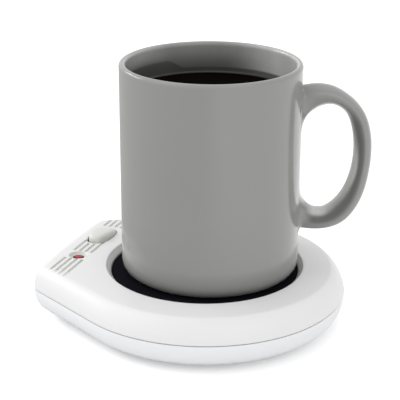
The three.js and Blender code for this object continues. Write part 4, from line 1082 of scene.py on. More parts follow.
def wall_point(step: float, fullness: float) -> Flat:
    """Give the (inward, along) shares of a shell's curved wall at a step from upright, 0, to level, 1."""
    angle, power = QUARTER * step, 2 / fullness
    return 1 - max(math.cos(angle), 0.0) ** power, math.sin(angle) ** power


@dataclass(frozen=True)
class Deck:
    """The crowned top of the base, between its shoulder and the lip of the well."""

    shoulder_inset: float = 6.9
    front_shoulder: float = 23.5
    panel_shoulder: float = 24.1
    front_fullness: float = 1.5
    panel_fullness: float = 2.1
    panel_start: float = 14.8
    panel_full: float = 59.94
    lip_radius: float = 45.8
    lip_rounding: float = 0.6
    lip_height: float = 24.1

    def panel_share(self, x: float) -> float:
        """Give how far a place has come from the round front, 0, to the panel, 1."""
        run = min(max((-x - self.panel_start) / (self.panel_full - self.panel_start), 0.0), 1.0)
        return run * run * (3 - 2 * run)

    def wall_ring(self, step: float, bottom: float, low: float, high: float,
                  sunk: float = 0.0) -> list[Point]:
        """Give a ring of the upper shell's curved wall, which is fuller and higher at the panel.

        Args:
            step: The step of the wall's curve, from upright, 0, to level, 1.
            bottom: The height where the wall starts.
            low: The wall's inset at its foot.
            high: The wall's inset at its shoulder.
            sunk: How far the shoulder lies under the deck, for the inner skin.

        Returns:
            The ring's points.
        """
        ring = []
        for first, last in zip(OUTLINE.flat(0), OUTLINE.flat(self.shoulder_inset)):
            share = self.panel_share(first[0])
            fullness = self.front_fullness + (self.panel_fullness - self.front_fullness) * share
            inward, along = wall_point(step, fullness)
            top = self.front_shoulder + (self.panel_shoulder - self.front_shoulder) * share - sunk
            flat = Vector(first).lerp(Vector(last), (low + (high - low) * inward) / self.shoulder_inset)
            ring.append((flat.x, flat.y, bottom + (top - bottom) * along))
        return ring

    @cache
    def shoulder(self) -> list[Point]:
        """Give the shoulder's ring."""
        return self.wall_ring(1.0, 0.0, 0.0, self.shoulder_inset)

    def height(self, x: float, y: float) -> float:
        """Give the deck's height at a place.

        Args:
            x: The place along X.
            y: The place along Y.

        Returns:
            The height.
        """
        angle = math.atan2(y, x)

        def aside(point: Point) -> float:
            """Give the angle between the place and a point."""
            return abs(math.remainder(math.atan2(point[1], point[0]) - angle, 2 * math.pi))

        edge = min(self.shoulder(), key=aside)
        outer, lip = math.hypot(edge[0], edge[1]), self.lip_radius + self.lip_rounding
        share = (outer - math.hypot(x, y)) / (outer - lip)
        return edge[2] + (self.lip_height - edge[2]) * share


DECK = Deck()


@dataclass(frozen=True)
class BushNotch:
    """The round notch that both shells leave for the cord bush."""

    radius: float = 4.8
    height: float = 12.95
    start: float = 53.4
    end: float = 66.9
    steps: int = 64

    def cutter(self) -> Piece:
        """Make the cutter of the notch."""
        return rod(self.radius, (0, self.start, self.height), (0, self.end, self.height), self.steps)


@dataclass(frozen=True)
class SwitchPlace:
    """Where the switch sits and how large its button is."""

    x: float = -58.7
    y: float = 12.3
    half_width: float = 5.4
    half_length: float = 9.7
    side_gap: float = 0.4
    end_gap: float = 0.9


@dataclass(frozen=True)
class LampPlace:
    """Where the pilot lamp sits and the shape of its dish."""

    x: float = -58.7
    y: float = -14.0
    dish_radius: float = 4.5
    dish_depth: float = 1.2
    dish_foot: tuple[Flat, ...] = ((-0.25, 0), (0.1, 0.12), (0.45, 0.42))
    dish_edge: tuple[Flat, ...] = ((-0.18, -0.2), (0.05, -0.05), (0.4, 0.04), (0.6, 1.2))
    floor_share: float = 0.745
    hole_depth: float = 6.0
    lens_radius: float = 2.4
    lens_rise: float = 0.25
    flange_drop: float = 2.5
    flange_radius: float = 3.8
    flange_thickness: float = 1.0
    gap: float = 0.3

    def top(self) -> float:
        """Give the deck's height at the lamp."""
        return DECK.height(self.x, self.y)


SWITCH = SwitchPlace()
LAMP = LampPlace()
NOTCH = BushNotch()
SCREWS: tuple[Flat, ...] = ((23.47, 44.13), (23.47, -44.13), (-39.8, 35.83), (-39.8, -35.83))
FEET: tuple[Flat, ...] = ((41.86, 24.2), (41.86, -24.2), (-52.9, 17.91), (-52.9, -17.91))
OVERRUN = 1.0


@dataclass
class TopHousing:
    """The moulded upper shell with the well, the panel's grooves, the slot and the lamp's dish."""

    bottom: float = 13.15
    seam_inset: float = 0.25
    wall: float = 2.2
    wall_steps: int = 26
    deck_steps: int = 10
    inner_steps: int = 14
    inner_shoulder_inset: float = 7.4
    lip_edge: tuple[Flat, ...] = (
        (0.6, 0), (0.35, -0.03), (0.15, -0.14), (-0.02, -0.34), (-0.18, -0.62), (-0.55, -1.0),
        (-1.1, -1.55), (-1.65, -2.12),
    )
    well_radius: float = 43.7
    plate_top: float = 21.5
    well_edge: tuple[Flat, ...] = ((0.14, 0.1), (0.03, -0.1), (0, -0.4))
    ledge_top: float = 18.0
    ledge_edge: tuple[Flat, ...] = ((0, 0.3), (-0.1, 0.08), (-0.35, 0))
    ledge_inner_radius: float = 37.5
    ledge_rounding: float = 0.2
    ledge_underside: float = 16.0
    deck_start_radius: float = 48.0
    groove_places: tuple[float, ...] = (-63.15, -60.18, -57.21, -54.24)
    groove_radius: float = 0.75
    groove_depth: float = 0.85
    groove_inset: float = 5.5
    groove_lamp_clearance: float = 4.5
    groove_switch_clearance: float = 1.3
    boss_radius: float = 3.6
    boss_bottom: float = 6.2
    boss_draft: float = 0.25
    shank_radius: float = 1.5
    boss_steps: int = 40
    dish_steps: int = 72
    slot_steps: int = 96
    slot_edge: tuple[Flat, ...] = (
        (-9.0, 0.0), (-0.45, 0.0), (-0.3, 0.03), (-0.18, 0.1), (-0.08, 0.2), (0.0, 0.36),
        (0.03, 0.6), (1.6, 0.6),
    )

    def skin(self) -> Piece:
        """Loft the shell's closed skin.

        Returns:
            The skin, without its cuts.
        """
        lip, top, inset, count = DECK.lip_radius, DECK.lip_height, DECK.shoulder_inset, self.wall_steps
        walls = [DECK.wall_ring(i / count, self.bottom, 0, inset) for i in range(1, count + 1)]
        edge = OUTLINE.round_ring(lip + DECK.lip_rounding, top)
        deck = [between(walls[-1], edge, i / self.deck_steps) for i in range(1, self.deck_steps)]
        inner, under, rounding = self.ledge_inner_radius, self.ledge_underside, self.ledge_rounding
        well = shifted(self.lip_edge, lip, top) + shifted(self.well_edge, self.well_radius, self.plate_top)
        well += shifted(self.ledge_edge, self.well_radius, self.ledge_top)
        well += [(inner + rounding, self.ledge_top), (inner, self.ledge_top - rounding), (inner, under),
                 (self.well_radius + self.wall, under), (self.deck_start_radius, top - self.wall)]
        count, inset = self.inner_steps, self.inner_shoulder_inset
        lining = [DECK.wall_ring(i / count, self.bottom, self.wall, inset, self.wall)
                  for i in range(count, -1, -1)]
        rings = [OUTLINE.ring(self.seam_inset, self.bottom), *walls, *deck]
        rings += [OUTLINE.round_ring(*place) for place in well]
        return loft("upper_shell", rings + lining, Ends.JOINED)

    def slot_cutter(self) -> Piece:
        """Make the cutter of the oval slot, flared at the deck for a rounded edge.

        Returns:
            The cutter.
        """
        half_width, half_length = SWITCH.half_width + SWITCH.side_gap, SWITCH.half_length + SWITCH.end_gap
        rings = []
        for rise, flare in self.slot_edge:
            flat = [(SWITCH.x + x, SWITCH.y + y)
                    for x, y in oval(half_width + flare, half_length + flare, self.slot_steps)]
            rings.append([(x, y, DECK.height(x, y) + rise) for x, y in flat])
        return loft("slot", rings)

    def dish_cutter(self) -> Piece:
        """Make the cutter of the lamp's dish with the hole for its lens.

        Returns:
            The cutter.
        """
        top, hole = LAMP.top(), LAMP.lens_radius + LAMP.gap
        base = top - LAMP.dish_depth
        profile = [(0, base - LAMP.hole_depth), (hole, base - LAMP.hole_depth), (hole, base)]
        profile += shifted(LAMP.dish_foot, LAMP.dish_radius * LAMP.floor_share, base)
        profile += shifted(LAMP.dish_edge, LAMP.dish_radius, top)
        dish = turned("dish", profile + [(0, profile[-1][1])], self.dish_steps)
        return moved(dish, shift(LAMP.x, LAMP.y))

    def groove_cutters(self) -> Piece:
        """Sweep the cutters of the panel's grooves, broken round the lamp and the switch.

        Returns:
            The cutters as one piece.
        """
        side, end_reach = math.radians(OUTLINE.side_degrees), SWITCH.half_length + SWITCH.end_gap
        runs = []
        for x in self.groove_places:
            reach = (OUTLINE.front_radius - self.groove_inset - math.cos(side) * x) / math.sin(side)
            near = end_reach * math.sqrt(1 - min(abs(x - SWITCH.x) / SWITCH.half_width, 1) ** 2)
            for start, end in (
                (-reach, LAMP.y - self.groove_lamp_clearance),
                (LAMP.y + self.groove_lamp_clearance, SWITCH.y - near - self.groove_switch_clearance),
                (SWITCH.y + end_reach + self.groove_switch_clearance, reach),
            ):
                first, last = (
                    DECK.height(x, y) - self.groove_depth + self.groove_radius for y in (start, end)
                )
                runs.append(((x, start, first), (x, end, last)))
        return round_runs("grooves", runs, self.groove_radius)

    def build(self) -> None:
        """Build and dress the shell, and the drilled bosses over the screws."""
        shell = carved(self.skin(), [self.slot_cutter(), self.dish_cutter(), NOTCH.cutter()])
        dress(carved(shell, [self.groove_cutters()]), "white_shell", Body.BASE, ["top_housing"])
        top = DECK.front_shoulder - self.wall / 2
        profile = [(self.shank_radius, self.boss_bottom), (self.boss_radius, self.boss_bottom),
                   (self.boss_radius + self.boss_draft, top), (self.shank_radius, top)]
        pattern = turned("boss_pattern", profile, self.boss_steps, Ends.JOINED)
        copies("housing_bosses", pattern, SCREWS, "white_shell")


@dataclass
class BaseCover:
    """The lower shell: a tray with a tongue, pillars, and recesses for screws and feet."""

    top: float = 12.75
    seam_inset: float = 0.22
    seam_share: float = 0.02
    underside_inset: float = 12.0
    fullness: float = 2.2
    wall_steps: int = 26
    inner_fullness: float = 1.5
    inner_steps: int = 14
    tongue_outer: float = 3.0
    tongue_inner: float = 4.2
    tongue_top: float = 14.95
    tongue_edge: float = 0.3
    floor_top: float = 2.2
    pillar_bottom: float = 0.3
    pillar_top: float = 5.9
    pillar_radius: float = 3.6
    head_radius: float = 3.1
    head_depth: float = 3.2
    shank_radius: float = 1.5
    pillar_steps: int = 40
    counterbore_steps: int = 48
    recess_radius: float = 5.3
    recess_depth: float = 0.6
    recess_steps: int = 64

    def tray(self) -> Piece:
        """Loft the cover's closed skin.

        Returns:
            The skin, without its cuts.
        """
        shares = [wall_point(i / self.wall_steps, self.fullness) for i in range(self.wall_steps, -1, -1)]
        outer = [
            OUTLINE.ring(max(self.underside_inset * a, self.seam_inset if b < self.seam_share else 0.0),
                         self.top * (1 - b)) for a, b in shares
        ]
        edge, upper = self.tongue_edge, self.tongue_top
        tongue = [(self.tongue_outer, self.top), (self.tongue_outer, upper - edge),
                  (self.tongue_outer + edge, upper), (self.tongue_inner, upper)]
        shares = [wall_point(i / self.inner_steps, self.inner_fullness) for i in range(self.inner_steps + 1)]
        inner = [(self.tongue_inner + (self.underside_inset - self.tongue_inner) * a,
                  self.top + (self.floor_top - self.top) * b) for a, b in shares]
        return loft("lower_shell", outer + [OUTLINE.ring(*place) for place in tongue + inner])

    def build(self) -> None:
        """Build and dress the cover and its pillars."""
        cutters = [NOTCH.cutter()]
        cutters += posts(self.recess_radius, FEET, -OVERRUN, self.recess_depth, self.recess_steps)
        high = self.floor_top + OVERRUN
        cutters += posts(self.head_radius, SCREWS, -OVERRUN, high, self.counterbore_steps)
        dress(carved(self.tray(), cutters), "white_cover", Body.BASE, ["base_cover"])
        shank, head, outside = self.shank_radius, self.head_radius, self.pillar_radius
        profile = [(shank, self.head_depth), (head, self.head_depth), (head, self.pillar_bottom),
                   (outside, self.pillar_bottom), (outside, self.pillar_top), (shank, self.pillar_top)]
        pattern = turned("pillar_pattern", profile, self.pillar_steps, Ends.JOINED)
        copies("cover_pillars", pattern, SCREWS, "white_cover")


@dataclass
class HotPlate:
    """The round plate with its studs, and the nuts under it."""

    radius: float = 43.4
    top: float = 21.5
    underside: float = 19.6
    steps: int = 144
    rounding: float = 0.5
    rounding_steps: int = 6
    under_edge: float = 0.3
    top_rings: tuple[float, ...] = (40, 36, 20, 0)
    stud_radius: float = 1.5
    stud_end: float = 12.0
    stud_root: float = 0.5
    stud_steps: int = 32
    stud_circle: float = 29.77
    stud_degrees: tuple[float, ...] = (90, 210, 330)
    nut_bottom: float = 13.1
    nut_sides: int = 6
    nut_flats: float = 5.5
    nut_gap: float = 0.1
    nut_crease: float = 20.0
    nut_rows: tuple[Flat, ...] = ((0.93, 0), (1, 0.25), (1, 2.15), (0.93, 2.4))
    most_spin: float = 1.0
    seed: int = 3

    def nut(self) -> Piece:
        """Make the pattern of a nut.

        Returns:
            The nut, standing on the level.
        """
        corner, bore = self.nut_flats / math.sqrt(3), self.stud_radius + self.nut_gap
        rows = [(share * corner, z) for share, z in self.nut_rows]
        rows += [(bore, self.nut_rows[-1][1]), (bore, 0)]
        return turned("nut_pattern", rows, self.nut_sides, Ends.JOINED, self.nut_crease)

    def build(self) -> None:
        """Build and dress the plate and its nuts."""
        edge = [(0, self.underside), (self.radius - self.under_edge, self.underside),
                (self.radius, self.underside + self.under_edge)]
        round_centre = self.radius - self.rounding, self.top - self.rounding
        edge += arc(round_centre, self.rounding, 0, 90, self.rounding_steps)
        disc = turned("disc", edge + [(r, self.top) for r in self.top_rings], self.steps)
        turns = [math.radians(value) for value in self.stud_degrees]
        places = [(self.stud_circle * math.cos(a), self.stud_circle * math.sin(a)) for a in turns]
        root = self.underside + self.stud_root
        studs = posts(self.stud_radius, places, self.stud_end, root, self.stud_steps)
        dress(joined("warming_plate", [disc, *studs]), "dark_plate", Body.BASE, ["hot_plate"])
        copies("plate_nuts", self.nut(), places, "zinc_screw", [f"plate_nut_{i}" for i in range(1, 4)],
               self.nut_bottom, self.most_spin, self.seed)


@dataclass
class Rocker:
    """The switch's rocker button, tipped with its far end pressed."""

    edge_height: float = 24.9
    edge_depth: float = 2.5
    crown: float = 2.0
    crown_powers: Flat = (5, 0.45)
    crown_rings: tuple[float, ...] = (
        1, 0.995, 0.985, 0.97, 0.95, 0.92, 0.88, 0.82, 0.74, 0.64, 0.5, 0.36, 0.2, 0.08,
    )
    end_drop: float = 0.9
    skirt_bottom: float = 16.8
    skirt_edge: float = 0.2
    skirt_shares: Flat = (0.91, 0.94)
    pivot_height: float = 18.5
    pivot_radius: float = 1.3
    pivot_half: float = 9.0
    stem_half: float = 2.3
    stem_corner: float = 0.4
    stem_bottom: float = 12.8
    bore_radius: float = 1.3
    bore_top: float = 16.6
    tilt_degrees: float = -7.0
    steps: int = 96
    hole_steps: int = 40
    cap_crease: float = 50.0
    crease: float = 40.0

    def cap(self) -> Piece:
        """Loft the pebble-shaped cap.

        Returns:
            The cap about its own axis, not tipped.
        """
        flat = oval(SWITCH.half_width, SWITCH.half_length, self.steps)
        levels = zip((*self.skirt_shares, 1, 1), (
            self.skirt_bottom, self.skirt_bottom + self.skirt_edge, self.pivot_height,
            self.edge_height - self.edge_depth))
        rings = [[(x * scale, y * scale, height) for x, y in flat] for scale, height in levels]
        for scale in self.crown_rings:
            top = self.edge_height + self.crown * (1 - scale ** self.crown_powers[0]) ** self.crown_powers[1]
            rings.append([(x * scale, y * scale, top - (y * scale / SWITCH.half_length) ** 2 * self.end_drop)
                          for x, y in flat])
        return loft("cap", rings, crease=self.cap_crease)

    def stem(self) -> Piece:
        """Make the square stem with its edges cut off.

        Returns:
            The stem with the bore for its spring.
        """
        half, cut = self.stem_half, self.stem_half - self.stem_corner
        corners = [(half, cut), (cut, half), (-cut, half), (-half, cut), (-half, -cut), (-cut, -half),
                   (cut, -half), (half, -cut)]
        top = self.skirt_bottom + self.stem_corner
        stem = loft("stem", [[(x, y, z) for x, y in corners] for z in (self.stem_bottom, top)])
        low = self.stem_bottom - OVERRUN
        return carved(stem, posts(self.bore_radius, [(0, 0)], low, self.bore_top, self.hole_steps))

    def build(self) -> None:
        """Build and dress the button."""
        ends = [(side * self.pivot_half, 0, self.pivot_height) for side in (-1, 1)]
        cap = carved(self.cap(), [rod(self.pivot_radius, *ends, self.hole_steps)], self.cap_crease)
        tilt = Matrix.Rotation(math.radians(self.tilt_degrees), 4, "X")
        place = shift(SWITCH.x, SWITCH.y, self.pivot_height) @ tilt @ shift(0, 0, -self.pivot_height)
        button = moved(joined("rocker_cap", [cap, self.stem()], self.crease), place)
        dress(button, "rocker_plastic", Body.ROCKER, ["rocker_button"])


@dataclass
class PilotLamp:
    """The lamp's red lens in its dish."""

    steps: int = 64
    dome_steps: int = 10
    dome_power: float = 0.8

    def build(self) -> None:
        """Build and dress the lens."""
        top, radius, wide = LAMP.top(), LAMP.lens_radius, LAMP.flange_radius
        flange, rim = top - LAMP.flange_drop, top - LAMP.dish_depth + LAMP.lens_rise / 2
        under = flange - LAMP.flange_thickness
        turns = [QUARTER * i / self.dome_steps for i in range(self.dome_steps)]
        dome = [(radius * math.cos(a) ** self.dome_power, rim + LAMP.lens_rise * math.sin(a)) for a in turns]
        profile = [(0, under), (wide, under), (wide, flange), (radius, flange)]
        profile += [*dome, (0, rim + LAMP.lens_rise)]
        lens = moved(turned("pilot_lens", profile, self.steps), shift(LAMP.x, LAMP.y))
        dress(lens, "red_lens", Body.BASE, ["lamp_lens"])


@dataclass
class CordBush:
    """The rubber bush of the cord inlet."""

    bore: float = 3.4
    neck: float = 4.5
    flange: float = 6.0
    inner_end: float = 57.2
    inner_face: float = 58.6
    outer_face: float = 65.7
    inner_edge: tuple[Flat, ...] = ((-0.2, 0), (0, 0.2))
    bead_foot: float = 0.4
    bead_start: Flat = (-0.7, 0.5)
    bead_size: Flat = (0.7, 0.9)
    bead_steps: int = 6
    outer_end: float = 67.1
    mouth: tuple[Flat, ...] = ((0.5, 0), (0.12, -0.15), (0, -0.5))
    steps: int = 72

    def build(self) -> None:
        """Build and dress the bush."""
        outer = self.outer_face
        profile = [(self.bore, self.inner_end), *shifted(self.inner_edge, self.flange, self.inner_end),
                   (self.flange, self.inner_face), (self.neck, self.inner_face), (self.neck, outer),
                   (self.flange, outer), (self.flange, outer + self.bead_foot)]
        turns = [QUARTER * i / self.bead_steps for i in range(1, self.bead_steps + 1)]
        wide, tall = self.bead_size
        bead = shifted([(wide * math.cos(a), tall * math.sin(a)) for a in turns], *self.bead_start)
        profile += shifted(bead, self.flange, outer) + shifted(self.mouth, self.bore, self.outer_end)
        lying = shift(0, 0, NOTCH.height) @ Matrix.Rotation(-QUARTER, 4, "X")
        bush = moved(turned("cord_bush", profile, self.steps, Ends.JOINED), lying)
        dress(bush, "black_rubber", Body.BASE, ["cord_inlet_bush"])


@dataclass
class Fastenings:
    """The screws and the rubber feet under the base."""

    head_radius: float = 2.8
    head_top: float = 2.9
    head_bottom: float = 1.1
    head_rows: tuple[Flat, ...] = ((0, 0), (0.55, 0.05), (0.86, 0.3), (1, 0.75))
    shank_radius: float = 1.2
    tip: float = 14.0
    tip_length: float = 1.6
    thread_start: float = 0.8
    thread_end: float = 2.0
    thread_pitch: float = 0.9
    thread_depth: float = 0.25
    cross_arm: float = 0.62
    cross_half: float = 0.32
    cross_rows: tuple[Flat, ...] = ((1.05, -0.5), (0.7, 1.1))
    screw_steps: int = 32
    most_spin: float = 1.5
    seed: int = 11
    foot_radius: float = 5.0
    foot_bottom: float = -2.0
    foot_top: float = 0.3
    foot_middle: tuple[Flat, ...] = ((0, 0.25), (1.6, 0.25), (2.0, 0))
    foot_edge: float = 0.9
    foot_edge_steps: int = 6
    foot_inset: float = 1.2
    foot_steps: int = 56

    def screw(self) -> Piece:
        """Make the pattern of a cross-slotted screw with its thread's crests.

        Returns:
            The screw, head down.
        """
        bottom, shank, root = self.head_bottom, self.shank_radius, self.shank_radius - self.thread_depth
        profile = [(share * self.head_radius, bottom + z) for share, z in self.head_rows]
        profile += [(self.head_radius, self.head_top), (shank, self.head_top)]
        height, last = self.head_top + self.thread_start, self.tip - self.thread_end
        while height < last:
            profile += [(root, height), (shank, height + self.thread_pitch / 2)]
            height += self.thread_pitch
        profile += [(root, self.tip - self.tip_length), (0, self.tip)]
        arm, half = self.head_radius * self.cross_arm, self.cross_half
        quarter = [(arm, half), (half, half), (half, arm)]
        cross = [*quarter, *((-y, x) for x, y in quarter), *((-x, -y) for x, y in quarter),
                 *((y, -x) for x, y in quarter)]
        slot = loft("cross", [[(x * s, y * s, bottom + z) for x, y in cross] for s, z in self.cross_rows])
        return carved(turned("screw_pattern", profile, self.screw_steps), [slot])

    def build(self) -> None:
        """Build and dress the screws and feet."""
        stands_for = [f"housing_screw_{i}" for i in range(1, 5)]
        copies("housing_screws", self.screw(), SCREWS, "zinc_screw", stands_for, most_spin=self.most_spin,
               seed=self.seed)
        low, side = self.foot_bottom, self.foot_radius
        profile = shifted(self.foot_middle, 0, low)
        round_centre = side - self.foot_inset, low + self.foot_edge
        profile += arc(round_centre, self.foot_edge, -90, 0, self.foot_edge_steps)
        profile += [(side, 0.0), (side, self.foot_top), (0, self.foot_top)]
        copies("rubber_feet", turned("foot_pattern", profile, self.foot_steps), FEET, "foot_rubber",
               [f"rubber_foot_{i}" for i in range(1, 5)])


# The mug


@dataclass
class Mug:
    """The mug, one subdivided skin with its handle drawn out of the wall, and the drink in it."""

    radius: float = 41.0
    height: float = 98.0
    place: Point = (1.56, 2.57, 21.8)
    turn_degrees: float = 20.3
    columns: int = 64
    under: float = 1.4
    floor: float = 6.0
    foot_rows: tuple[Flat, ...] = (
        (10.0, 1.4), (24.0, 1.4), (31.2, 1.4), (32.3, 0.9), (33.1, 0.05), (34.4, 0.0), (35.8, 0.0),
    )
    wall_rows: tuple[float, ...] = (
        8.2, 12.6, 17.4, 21.9, 26.4, 30.9, 35.4, 44.0, 53.0, 62.4, 71.4, 75.9, 80.4, 84.9, 89.4, 93.2, 95.3,
    )
    inner_rows: tuple[Flat, ...] = (
        (38.0, 94.6), (37.95, 90.0), (37.8, 75.0), (37.6, 58.0), (37.4, 40.0), (37.2, 24.0), (37.05, 16.5),
    )
    floor_rows: tuple[float, ...] = (24.0, 12.0, 4.0)
    foot_corner: Arc = ((36.0, 5.0), 5.08, -72, 0, 4)
    rim: Arc = ((39.5, 96.5), 1.58, 0, 180, 5)
    floor_corner: Arc = ((30.0, 13.0), 7.18, 0, -90, 4)
    root_rows: Flat = (17.4, 71.4)
    root_half: int = 2
    sides: int = 16
    reach: float = 32.05
    width: float = 12.5
    thickness: float = 8.4
    section_power: float = 2.2
    stations: int = 36
    look_ahead: float = 0.004
    levels: int = 2
    open_crease: float = 180.0
    drink_height: float = 83.0
    drink_foot: tuple[Flat, ...] = (
        (0, 6.1), (30.0, 6.1), (34.9, 8.2), (36.95, 13.0), (37.15, 16.0), (37.9, 77.0),
    )
    drink_edge: tuple[Flat, ...] = (
        (37.96, 1.1), (37.75, 0.95), (37.5, 0.6), (37.1, 0.3), (36.5, 0.12), (35.6, 0.03), (34.0, 0),
        (20.0, 0), (0, 0),
    )
    drink_steps: int = 128
    drink_crease: float = 60.0
    path_shares: tuple[tuple[float, float, float, float], ...] = (
        (0.03, 0.828, 1.52, 1.12), (0.169, 0.845, 1.29, 1.05), (0.3, 0.851, 1.1, 1.0),
        (0.42, 0.847, 0.94, 1.0), (0.55, 0.829, 0.8, 1.0), (0.687, 0.793, 0.8, 1.0),
        (0.788, 0.74, 0.91, 1.0), (0.843, 0.681, 0.96, 1.0), (0.869, 0.62, 0.98, 1.0),
        (0.87, 0.557, 0.99, 1.0), (0.852, 0.496, 1.0, 1.0), (0.815, 0.435, 1.06, 1.0),
        (0.756, 0.376, 1.12, 1.0), (0.664, 0.322, 1.21, 1.0), (0.536, 0.276, 1.27, 1.0),
        (0.364, 0.25, 1.18, 1.0), (0.175, 0.25, 1.23, 1.02), (0.05, 0.262, 1.42, 1.1),
    )

    @staticmethod
    def swell(sides: int) -> float:
        """Give how much wider a cage is than the round skin that it becomes."""
        return 6 / (4 + 2 * math.cos(2 * math.pi / sides))

    def profile(self) -> list[Flat]:
        """Give the cage's (radius, height) rows.

        Returns:
            The rows, from under the foot to the floor inside.
        """
        rows = [*self.foot_rows, *arc(*self.foot_corner), *((self.radius, z) for z in self.wall_rows)]
        rows += [*arc(*self.rim), *self.inner_rows, *arc(*self.floor_corner)]
        return rows + [(r, self.floor) for r in self.floor_rows]

    def station(self, share: float) -> tuple[Vector, float, float]:
        """Give the handle's centre, half thickness and half width at a share of its path.

        Args:
            share: The share of the path, from the upper root to the lower.

        Returns:
            The centre, the half thickness and the half width.
        """
        rows, last = self.path_shares, len(self.path_shares) - 1
        low = min(int(share * last), last - 1)
        t = share * last - low
        picks = [rows[max(low - 1, 0)], rows[low], rows[low + 1], rows[min(low + 2, last)]]
        out, up, thick, wide = (
            0.5 * (2 * b + (c - a) * t + (2 * a - 5 * b + 4 * c - d) * t ** 2
                   + (3 * b - a - 3 * c + d) * t ** 3)
            for a, b, c, d in zip(*picks)
        )
        centre = Vector((self.radius + out * self.reach, 0, up * self.height))
        return centre, thick * self.thickness / 2, wide * self.width / 2

    def handle_rings(self) -> list[list[Point]]:
        """Give the handle's rings, each square to the path.

        Returns:
            The rings from the upper root to the lower.
        """
        rings, swell, look = [], self.swell(self.sides), self.look_ahead
        section = [squared(2 * math.pi * k / self.sides, self.section_power) for k in range(self.sides)]
        for i in range(self.stations + 1):
            share = i / self.stations
            centre, thick, wide = self.station(share)
            ahead = self.station(min(share + look, 1))[0] - self.station(max(share - look, 0))[0]
            ahead.normalize()
            outward = Vector((-ahead.z, 0, ahead.x))
            rings.append([
                tuple(centre + outward * (out * thick * swell) + Vector((0, side * wide * swell, 0)))
                for out, side in section
            ])
        return rings

    def cage(self) -> Piece:
        """Make the cage of wall, rim, foot and handle.

        Returns:
            The closed cage in the mug's own frame.
        """
        rows, count, half, sides = self.profile(), self.columns, self.root_half, self.sides
        points = [p for r, z in rows for p in circle(r * self.swell(count), z, count)]
        rings, first_ring = self.handle_rings(), len(points)
        points += [p for ring in rings for p in ring]
        under, floor = len(points), len(points) + 1
        points += [(0.0, 0.0, self.under), (0.0, 0.0, self.floor)]

        def wall(row: int, column: int) -> int:
            """Give the number of a wall's point."""
            return row * count + column % count

        low, high = (rows.index((self.radius, z)) for z in self.root_rows)
        opened = {*range(low, low + 2 * half), *range(high, high + 2 * half)}
        faces: list[Sequence[int]] = [
            (wall(i, k), wall(i, k + 1), wall(i + 1, k + 1), wall(i + 1, k))
            for i in range(len(rows) - 1) for k in range(count)
            if i not in opened or half <= k < count - half
        ]
        for k in range(count):
            faces.append((under, wall(0, k + 1), wall(0, k)))
            faces.append((floor, wall(len(rows) - 1, k), wall(len(rows) - 1, k + 1)))
        frame_steps = [(0, 0), (0, 1), (0, 2), (1, 2), (2, 2), (3, 2), (4, 2), (4, 1)]
        frame_steps += [(4 - down, -across) for down, across in frame_steps]
        upper = [wall(high + 4 - down, across) for down, across in frame_steps]
        lower = [wall(low + down, across) for down, across in frame_steps]
        starts = range(first_ring, first_ring + len(rings) * sides, sides)
        chain = [upper, *([start + k for k in range(sides)] for start in starts), lower]
        for one, two in zip(chain, chain[1:]):
            faces += [(one[k], one[(k + 1) % sides], two[(k + 1) % sides], two[k]) for k in range(sides)]
        return solid("grey_mug", points, faces, self.open_crease)

    def placed(self, piece: Piece) -> Piece:
        """Turn a piece to the handle's side and set it on the plate."""
        return moved(piece, shift(*self.place) @ Matrix.Rotation(math.radians(self.turn_degrees), 4, "Z"))

    def build(self) -> None:
        """Build and dress the mug, and the drink with the edge that it draws up the wall."""
        mug = self.placed(self.cage())
        bends = mug.modifiers.new("rounding", "SUBSURF")
        bends.levels = bends.render_levels = self.levels
        dress(mug, "glazed_grey", Body.MUG, ["mug"])
        profile = [*self.drink_foot, *shifted(self.drink_edge, 0, self.drink_height)]
        drink = self.placed(turned("dark_drink", profile, self.drink_steps, crease=self.drink_crease))
        drink.data.materials.append(DrinkFinish().build())
        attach(drink, Body.MUG.value)
        LOG.info("%s: %d faces, rides on %s", drink.name, len(drink.data.polygons), Body.MUG.value)


class KeptNodes:
    """Gives every frame node that keeps its shape its finish."""

    def build(self) -> None:
        """Put the finish of the record's slot on each node."""
        slots = {row["node"]: row["material_slot"] for row in frame["record"]["subparts"]}
        for name, node in frame["nodes"].items():
            node.data.materials.clear()
            node.data.materials.append(finished(slots[name]))
            LOG.info("%s: finish %s", name, slots[name])


# The studio, in metres


@dataclass(frozen=True)
class Lamp:
    """A soft lamp that looks at the object."""

    name: str
    place: Point
    size: Flat
    power: float
    target: Point = (0.0, 0.0, 0.05)

    def hang(self) -> None:
        """Hang the lamp."""
        data = bpy.data.lights.new(self.name, "AREA")
        data.shape, data.energy = "RECTANGLE", self.power
        data.size, data.size_y = self.size
        aim = (Vector(self.target) - Vector(self.place)).to_track_quat("-Z", "Y")
        linked(self.name, data).matrix_world = Matrix.Translation(self.place) @ aim.to_matrix().to_4x4()


